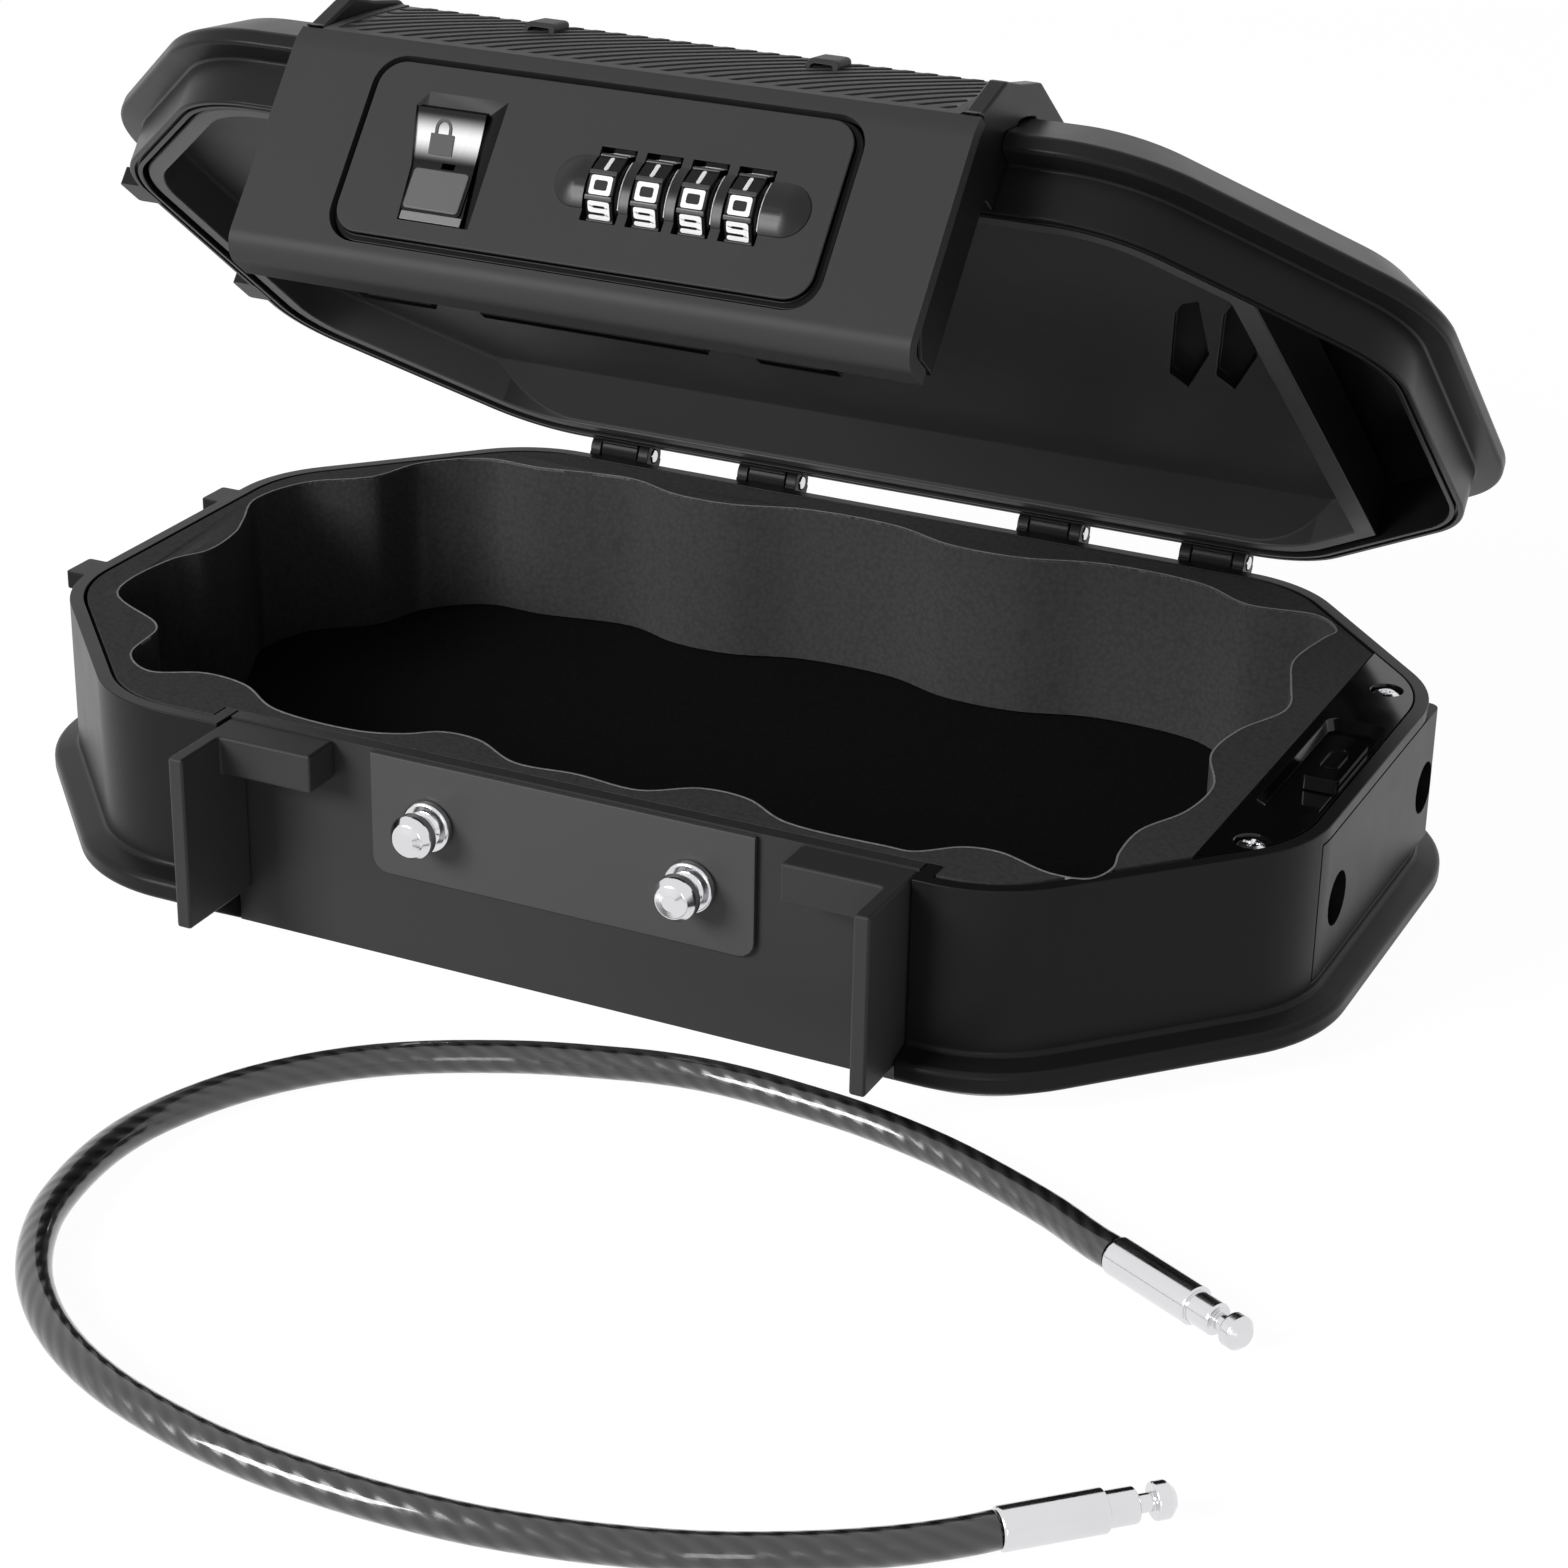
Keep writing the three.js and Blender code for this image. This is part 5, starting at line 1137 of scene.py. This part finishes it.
def panel_coat(face):
    """The bezel stands proud of the panel and is polished. The groove and the recess's right ramp are painted black
    as painted shade.
    """
    spot = face.center
    on_bezel = abs(spot.x - BEZEL_X) < BEZEL_HALF_LENGTH and abs(spot.z - DIAL_Z) < BEZEL_HALF_HEIGHT
    in_recess = abs(spot.x - SLIDE_X) < RECESS_REACH and RECESS_LOW - 0.2 < spot.z < RECESS_HIGH + 0.2
    if on_bezel and spot.y < HOUSING_FRONT - 0.05:
        return bezel_abs
    # Painted shade: the recess's right ramp and the faces deep in the groove and the slots are painted black
    if in_recess and face.normal.x < -0.2 or not in_recess and spot.y > HOUSING_FRONT + 0.45:
        return acetal
    return abs_front_lit


panel = coat(make_panel(), [abs_front_lit, bezel_abs, acetal], panel_coat)
finish(panel, "lock_panel_moulded", "lid", None, ["lock_panel"], 30)


# The painted highlight in section, as (across, back) from the slot's corner
SLOT_HIGHLIGHT = ((-0.16, 0.3), (-0.16, 0.04), (-0.02, -0.03), (0.1, 0.3))


def make_slot_highlights():
    """A painted highlight along the right edge of each dial slot, which follows the bezel's swell."""
    strips = []
    for x in DIAL_XS:
        edge = x + SLOT_HALF
        rings = []
        for step in range(17):
            rise = (step / 16 - 0.5) * 2 * (BEZEL_HALF_HEIGHT - 0.5)
            y = HOUSING_FRONT - bezel_swell(rise) - 0.04
            rings.append([(edge + u, y + d, DIAL_Z + rise) for u, d in SLOT_HIGHLIGHT])
        strips.append(rings)
    return loft(*strips)


# The slot highlights are painted in the digits' white
finish(make_slot_highlights(), "dial_slot_highlights", "lid", digit_paint, (), 30)

# Number dials

# Digits 0 to 9 as rows of cells, from the top down
DIGIT_CELLS = (
    "111 101 101 101 111", "010 010 010 010 010", "111 001 111 100 111", "111 001 111 001 111",
    "101 101 111 001 001", "111 100 111 001 111", "111 100 111 101 111", "111 001 001 001 001",
    "111 101 111 101 111", "111 101 111 001 111",
)
DIGIT_WIDTH, DIGIT_HEIGHT, STROKE = 4.4, 3.6, 0.85
DIGIT_RISE = 0.12
FACE_RADIUS, FACE_DEPTH = 7.6, 7.38
HUB_RADIUS, AXLE_BORE = 6.6, 1.6
# Half the turn that a ridge takes at its top and at its foot, in degrees
RIDGE_TURN, RIDGE_FOOT_TURN = 3.0, 4.2


def digit_mesh(value):
    """A squarish digit as a thin raised slab, centred on its face: u across, v up, w out."""
    us = [-DIGIT_WIDTH / 2, -DIGIT_WIDTH / 2 + STROKE, DIGIT_WIDTH / 2 - STROKE, DIGIT_WIDTH / 2]
    if value == 1:
        us = [-DIGIT_WIDTH / 2, -STROKE / 2, STROKE / 2, DIGIT_WIDTH / 2]
    vs = [
        -DIGIT_HEIGHT / 2, -DIGIT_HEIGHT / 2 + STROKE, -STROKE / 2, STROKE / 2, DIGIT_HEIGHT / 2 - STROKE,
        DIGIT_HEIGHT / 2,
    ]
    rows = DIGIT_CELLS[value].split()[::-1]
    shape = bmesh.new()
    corners = {}
    for row, line in enumerate(rows):
        for column, mark in enumerate(line):
            if mark == "1":
                loop = []
                for i, j in ((column, row), (column + 1, row), (column + 1, row + 1), (column, row + 1)):
                    if (i, j) not in corners:
                        corners[i, j] = shape.verts.new((us[i], vs[j], -0.1))
                    loop.append(corners[i, j])
                shape.faces.new(loop)
    bmesh.ops.dissolve_limit(shape, angle_limit=0.01, verts=shape.verts, edges=shape.edges)
    grown = bmesh.ops.extrude_face_region(shape, geom=list(shape.faces))
    bmesh.ops.translate(
        shape, vec=(0, 0, 0.1 + DIGIT_RISE), verts=[v for v in grown["geom"] if isinstance(v, bmesh.types.BMVert)],
    )
    bmesh.ops.recalc_face_normals(shape, faces=shape.faces)
    upright = [
        e for e in shape.edges
        if abs(e.verts[0].co.z - e.verts[1].co.z) > 0.1 and e.calc_face_angle(0.0) > math.radians(30)
    ]
    bmesh.ops.bevel(shape, geom=upright, offset=0.42, segments=3, profile=0.5, affect="EDGES")
    return shape


def in_order(shape):
    """A shape's points and faces sorted by place, because Blender's order of them varies from run to run."""
    corners = sorted(shape.verts, key=lambda corner: tuple(corner.co))
    numbers = {corner: number for number, corner in enumerate(corners)}
    faces = []
    for face in shape.faces:
        loop = [numbers[corner] for corner in face.verts]
        first = loop.index(min(loop))
        faces.append(loop[first:] + loop[:first])
    return [corner.co.copy() for corner in corners], sorted(faces)


def make_digits(x):
    """Ten digits round one wheel: 0 in front, 1 above it."""
    points, faces = [], []
    for value in range(DIAL_FACES):
        shape = digit_mesh(value)
        angle = math.radians(FACE_TURN * value + DIAL_SETTLE)
        out = Vector((0, -math.cos(angle), math.sin(angle)))
        rise = Vector((0, math.sin(angle), math.cos(angle)))
        across = Vector((1, 0, 0))
        middle = Vector((x, DIAL_Y, DIAL_Z)) + out * FACE_DEPTH
        corners, loops = in_order(shape)
        shape.free()
        base = len(points)
        points += [middle + across * u + rise * v + out * w for u, v, w in corners]
        faces += [[base + number for number in loop] for loop in loops]
    return form(points, faces)


def make_wheel(x):
    """A ten sided wheel with a raised ridge at each corner."""
    outline = []
    for value in range(DIAL_FACES):
        half_face = FACE_TURN / 2
        for degrees, radius in (
            (-half_face - RIDGE_TURN, DIAL_RADIUS), (-half_face + RIDGE_TURN, DIAL_RADIUS),
            (-half_face + RIDGE_FOOT_TURN, FACE_RADIUS), (half_face - RIDGE_FOOT_TURN, FACE_RADIUS),
        ):
            angle = math.radians(FACE_TURN * value + degrees + DIAL_SETTLE)
            outline.append((DIAL_Y - radius * math.cos(angle), DIAL_Z + radius * math.sin(angle)))
    wheel = prism(outline, x - WHEEL_HALF, x + WHEEL_HALF, "x")
    hub = rod(HUB_RADIUS, (x - DIAL_WIDTH / 2, DIAL_Y, DIAL_Z), (x + DIAL_WIDTH / 2, DIAL_Y, DIAL_Z), 48)
    weld(wheel, hub)
    carve(wheel, rod(AXLE_BORE, (x - DIAL_WIDTH, DIAL_Y, DIAL_Z), (x + DIAL_WIDTH, DIAL_Y, DIAL_Z)))
    return soften(wheel, 0.22, 2, 20)


def wheel_coat(face):
    """The ridges are painted lighter than the faces between them, as a painted highlight."""
    reach = math.hypot(face.center.y - DIAL_Y, face.center.z - DIAL_Z)
    return acetal_ridge_highlight if reach > FACE_RADIUS + 0.2 else acetal


for index, (x, word) in enumerate(zip(DIAL_XS, ("one", "two", "three", "four"))):
    wheel = coat(make_wheel(x), [acetal, acetal_ridge_highlight], wheel_coat)
    finish(wheel, f"dial_wheel_{index + 1}", f"dial_{word}", None, [f"dial_{index + 1}"], 25)
    finish(make_digits(x), f"dial_digits_{index + 1}", f"dial_{word}", digit_paint, (), 30)

# Slide

SLIDE_FRONT = HOUSING_FRONT + 1
STEM_HALF, STEM_LOW, STEM_HIGH, THUMB_TRAVEL = 1.2, 23.5, 24.1, 9
PLATE_LEFT, PLATE_LOW, PLATE_HIGH = LOCK_X - 41.5, RECESS_FLOOR_LOW + 0.2, RECESS_FLOOR_HIGH + 1.5
PLATE_SINK, STEM_ROOM = 0.45, 0.2
HOLLOW_LOW, HOLLOW_HIGH = 32.5, RECESS_FLOOR_HIGH


def make_slide_plate():
    """The bright plate behind the thumb slide, hollowed along its height."""
    front, back = HOUSING_FRONT + PLATE_SINK, SLIDE_FRONT + 2.4
    steps = 24
    outline = [(back, PLATE_HIGH), (back, PLATE_LOW), (front + 0.1, PLATE_LOW)]
    for step in range(steps + 1):
        share = step / steps
        depth = front + 0.2 * math.sin(math.pi * share)
        outline.append((depth, HOLLOW_LOW + (HOLLOW_HIGH - HOLLOW_LOW) * share))
    outline.append((front + 0.1, HOLLOW_HIGH + 0.02))
    outline.append((front + 1.4, PLATE_HIGH))
    plate = prism(outline, PLATE_LEFT, RECESS_RIGHT, "x")
    # The slot for the button's stem stays under the button's foot at rest
    half = STEM_HALF + STEM_ROOM
    carve(plate, block(
        SLIDE_X - half, SLIDE_X + half, front - OVER, back + OVER, STEM_LOW - STEM_ROOM,
        STEM_HIGH + THUMB_TRAVEL + STEM_ROOM,
    ))
    edge_high, edge_low = RECESS_RIGHT - RAMP_HIGH, RECESS_RIGHT - RAMP_LOW
    beside = prism([
        (edge_high - 0.1, PLATE_HIGH + 2), (edge_low + 0.2, PLATE_LOW - 1), (RECESS_RIGHT + OVER, PLATE_LOW - 1),
        (RECESS_RIGHT + OVER, PLATE_HIGH + 2),
    ], front - OVER, back + OVER, "y")
    return carve(plate, beside)


def satin_material():
    """Satin plated steel with fine lines across it, with painted shade towards both ends of the hollow, so that only
    its middle shows bright.
    """
    material, tree, shader = start_material("satin_plate", {"Metallic": 1.0, "Roughness": 0.3})
    place = add_node(tree, "TexCoord").outputs["Object"]
    upward = OPEN.to_3x3() @ Vector((0, 0, 1))
    height = add_node(tree, "VectorMath", {"operation": "DOT_PRODUCT", 1: upward}, {0: place})
    # Painted shade: the plating is painted darker towards both ends of the hollow, where the thumb and the ramp would
    # shade it
    middle = TO_METRES @ OPEN @ Vector((0, SLIDE_FRONT, (HOLLOW_LOW + HOLLOW_HIGH) / 2))
    level = middle.dot(upward)
    away = add_node(tree, "Math", {"operation": "SUBTRACT", 1: level}, {0: height.outputs["Value"]})
    size = add_node(tree, "Math", {"operation": "ABSOLUTE"}, {0: away})
    fade = add_node(tree, "MapRange", {
        "interpolation_type": "SMOOTHSTEP", "From Min": 0.2 * MM, "From Max": 5.0 * MM,
    }, {"Value": size})
    lines = add_node(tree, "Mapping", {"Scale": (per(0.25), per(40), per(40))}, {"Vector": place})
    brushed = add_node(tree, "TexNoise", {"Scale": 1.0, "Detail": 2.0}, {"Vector": lines})
    tone = add_node(tree, "Mix", {"data_type": "RGBA", 6: linear("#e2e2e2"), 7: linear("#f4f4f4")}, {0: brushed})
    painted_shade = add_node(tree, "Mix", {"data_type": "RGBA", 7: linear("#262626")}, {0: fade, 6: tone.outputs[2]})
    relief = add_node(tree, "Bump", {"Strength": 0.3, "Distance": 0.01 * MM}, {"Height": brushed})
    join(tree, shader, {"Base Color": painted_shade.outputs[2], "Normal": relief})
    return material


finish(make_slide_plate(), "slide_plate", "lid", satin_material(), ["slide_tray"], 25)

SIGN_X, SIGN_LEAN = LOCK_X - 32.3, 0.18
SIGN_BODY = (SIGN_X - 2.5, SIGN_X + 2.5, 34.8, 39.0)
SHACKLE_HALF, SHACKLE_TOP, SHACKLE_WIDTH = 1.75, 42.2, 0.55


def make_padlock_sign():
    """A plain padlock pictogram, printed on the plate as a thin film."""
    x0, x1, z0, z1 = SIGN_BODY
    outer, inner = [], []
    steps = 16
    for step in range(steps + 1):
        angle = math.pi * step / steps
        for ring, half in ((outer, SHACKLE_HALF), (inner, SHACKLE_HALF - SHACKLE_WIDTH)):
            top = SHACKLE_TOP - SHACKLE_HALF * 1.25 + half * 1.25 * math.sin(angle)
            ring.append((SIGN_X + half * math.cos(angle), top))
    foot = z1 - 0.3
    shackle = [(outer[0][0], foot)] + outer + [(outer[-1][0], foot), (inner[-1][0], foot)]
    shackle += inner[::-1] + [(inner[0][0], foot)]
    front = HOUSING_FRONT + PLATE_SINK - 0.03
    sign = prism(shackle, front, front + 0.6, "y")
    weld(sign, prism(box_outline(x0, x1, z0, z1, 0.12, 2), front, front + 0.6, "y"))
    for spot in sign.data.vertices:
        spot.co.x -= (spot.co.z - z0) * SIGN_LEAN
    return sign


finish(make_padlock_sign(), "padlock_sign", "lid", print_grey, (), 30)

BUTTON_LOW, BUTTON_HIGH = 23.4, 31.6
BUTTON_LEFT, BUTTON_RIGHT = LOCK_X - 36.2, LOCK_X - 24.4
SHADOW_MARGIN, STEM_BACK = 0.4, -97.2


def make_thumb_slide():
    """The grey button with the stem that carries it."""
    button = prism(box_outline(
        BUTTON_LEFT, BUTTON_RIGHT, BUTTON_LOW, BUTTON_HIGH, 0.8, 4,
    ), HOUSING_FRONT - 0.2, HOUSING_FRONT + 0.35, "y")
    soften(button, 0.35, 3, 40)
    stem = block(SLIDE_X - STEM_HALF, SLIDE_X + STEM_HALF, HOUSING_FRONT + 0.2, STEM_BACK, STEM_LOW, STEM_HIGH)
    return weld(button, stem)


def make_thumb_shadow():
    """A black foot, a painted shadow: it shows as a dark line round the button, where the gap's shade falls."""
    return soften(prism(box_outline(
        BUTTON_LEFT - SHADOW_MARGIN, BUTTON_RIGHT + SHADOW_MARGIN, BUTTON_LOW - SHADOW_MARGIN, BUTTON_HIGH + SHADOW_MARGIN, 0.9, 4,
    ), HOUSING_FRONT + 0.2, HOUSING_FRONT + 0.36, "y"), 0.05, 2, 40)


# The pale sill under the button, at the recess's lower end
sill = block(BUTTON_LEFT, RECESS_RIGHT - RAMP_LOW, HOUSING_FRONT + 0.15, HOUSING_FRONT + 0.42, 21.2, 22.9)
finish(soften(sill, 0.1, 2), "slide_sill", "lid", sill_abs, (), 30)
finish(make_thumb_slide(), "thumb_button", "lock_slide", grey_abs, ["thumb_slide"])
# The foot is a painted shadow round the button
finish(make_thumb_shadow(), "thumb_shadow_foot", "lock_slide", abs_shell, ["thumb_slide"])

# Room

FLOOR_GLOW, FLOOR_SHARE = 1.08, 0.9
ROOM_LOW, ROOM_HIGH = 0.27, 0.06


def seen_directly(tree):
    """1 for rays that show the room itself: from the camera, in a reflection or through glass."""
    path = add_node(tree, "LightPath")
    seen = add_node(tree, "Math", {"operation": "MAXIMUM"}, {
        0: path.outputs["Is Camera Ray"], 1: path.outputs["Is Glossy Ray"],
    })
    return add_node(tree, "Math", {"operation": "MAXIMUM"}, {0: seen, 1: path.outputs["Is Transmission Ray"]})


def make_floor():
    """Pale paper that takes the safe's shadow and looks white."""
    floor = form([(-6, -6, 0), (6, -6, 0), (6, 6, 0), (-6, 6, 0)], [(0, 1, 2, 3)], "studio_floor")
    material, tree, shader = start_material("studio_paper", {"Base Color": linear("#e9e9e9"), "Roughness": 0.9})
    place = add_node(tree, "TexCoord").outputs["Object"]
    fibre = add_node(tree, "TexNoise", {"Scale": per(4), "Detail": 2.0}, {"Vector": place})
    relief = add_node(tree, "Bump", {"Strength": 0.05, "Distance": 0.1 * MM}, {"Height": fibre})
    join(tree, shader, {"Normal": relief})
    share = add_node(tree, "Math", {"operation": "MULTIPLY", 1: FLOOR_SHARE}, {0: seen_directly(tree)})
    glow = add_node(tree, "Emission", {"Color": (1, 1, 1, 1), "Strength": FLOOR_GLOW})
    blend = add_node(tree, "MixShader", {}, {0: share, 1: shader, 2: glow})
    join(tree, tree.nodes["Material Output"], {"Surface": blend})
    floor.data.materials.append(material)


def make_world():
    """White where it is seen, and a dim room that is darker overhead where it only lights."""
    world = bpy.data.worlds.new("studio")
    bpy.context.scene.world = world
    world.use_nodes = True
    tree = world.node_tree
    tree.nodes.clear()
    toward = add_node(tree, "TexCoord").outputs["Generated"]
    split = add_node(tree, "SeparateXYZ", {}, {0: toward})
    level = add_node(tree, "MapRange", {
        "From Min": 0.0, "From Max": 0.8, "To Min": ROOM_LOW, "To Max": ROOM_HIGH,
    }, {"Value": split.outputs["Z"]})
    room = add_node(tree, "Background", {"Color": (1, 1, 1, 1)}, {"Strength": level})
    white = add_node(tree, "Background", {"Color": (1, 1, 1, 1), "Strength": 1.0})
    blend = add_node(tree, "MixShader", {}, {0: seen_directly(tree), 1: room, 2: white})
    add_node(tree, "OutputWorld", {}, {"Surface": blend})


def add_lamp(name, place, target, size, power):
    lamp = add_object(name, bpy.data.lights.new(name, "AREA"))
    lamp.data.shape = "RECTANGLE"
    lamp.data.size, lamp.data.size_y = size
    lamp.data.energy = power
    lamp.location = place
    lamp.rotation_euler = (Vector(target) - Vector(place)).to_track_quat("-Z", "Y").to_euler()


make_floor()
make_world()
add_lamp("key_softbox", (-0.75, -1.35, 0.75), (0, -0.05, 0.08), (0.7, 0.6), 23)
add_lamp("fill_softbox", (0.62, -1.4, 0.3), (0.08, 0, 0.05), (0.25, 0.5), 1.6)
bpy.context.scene.view_settings.view_transform = "Standard"
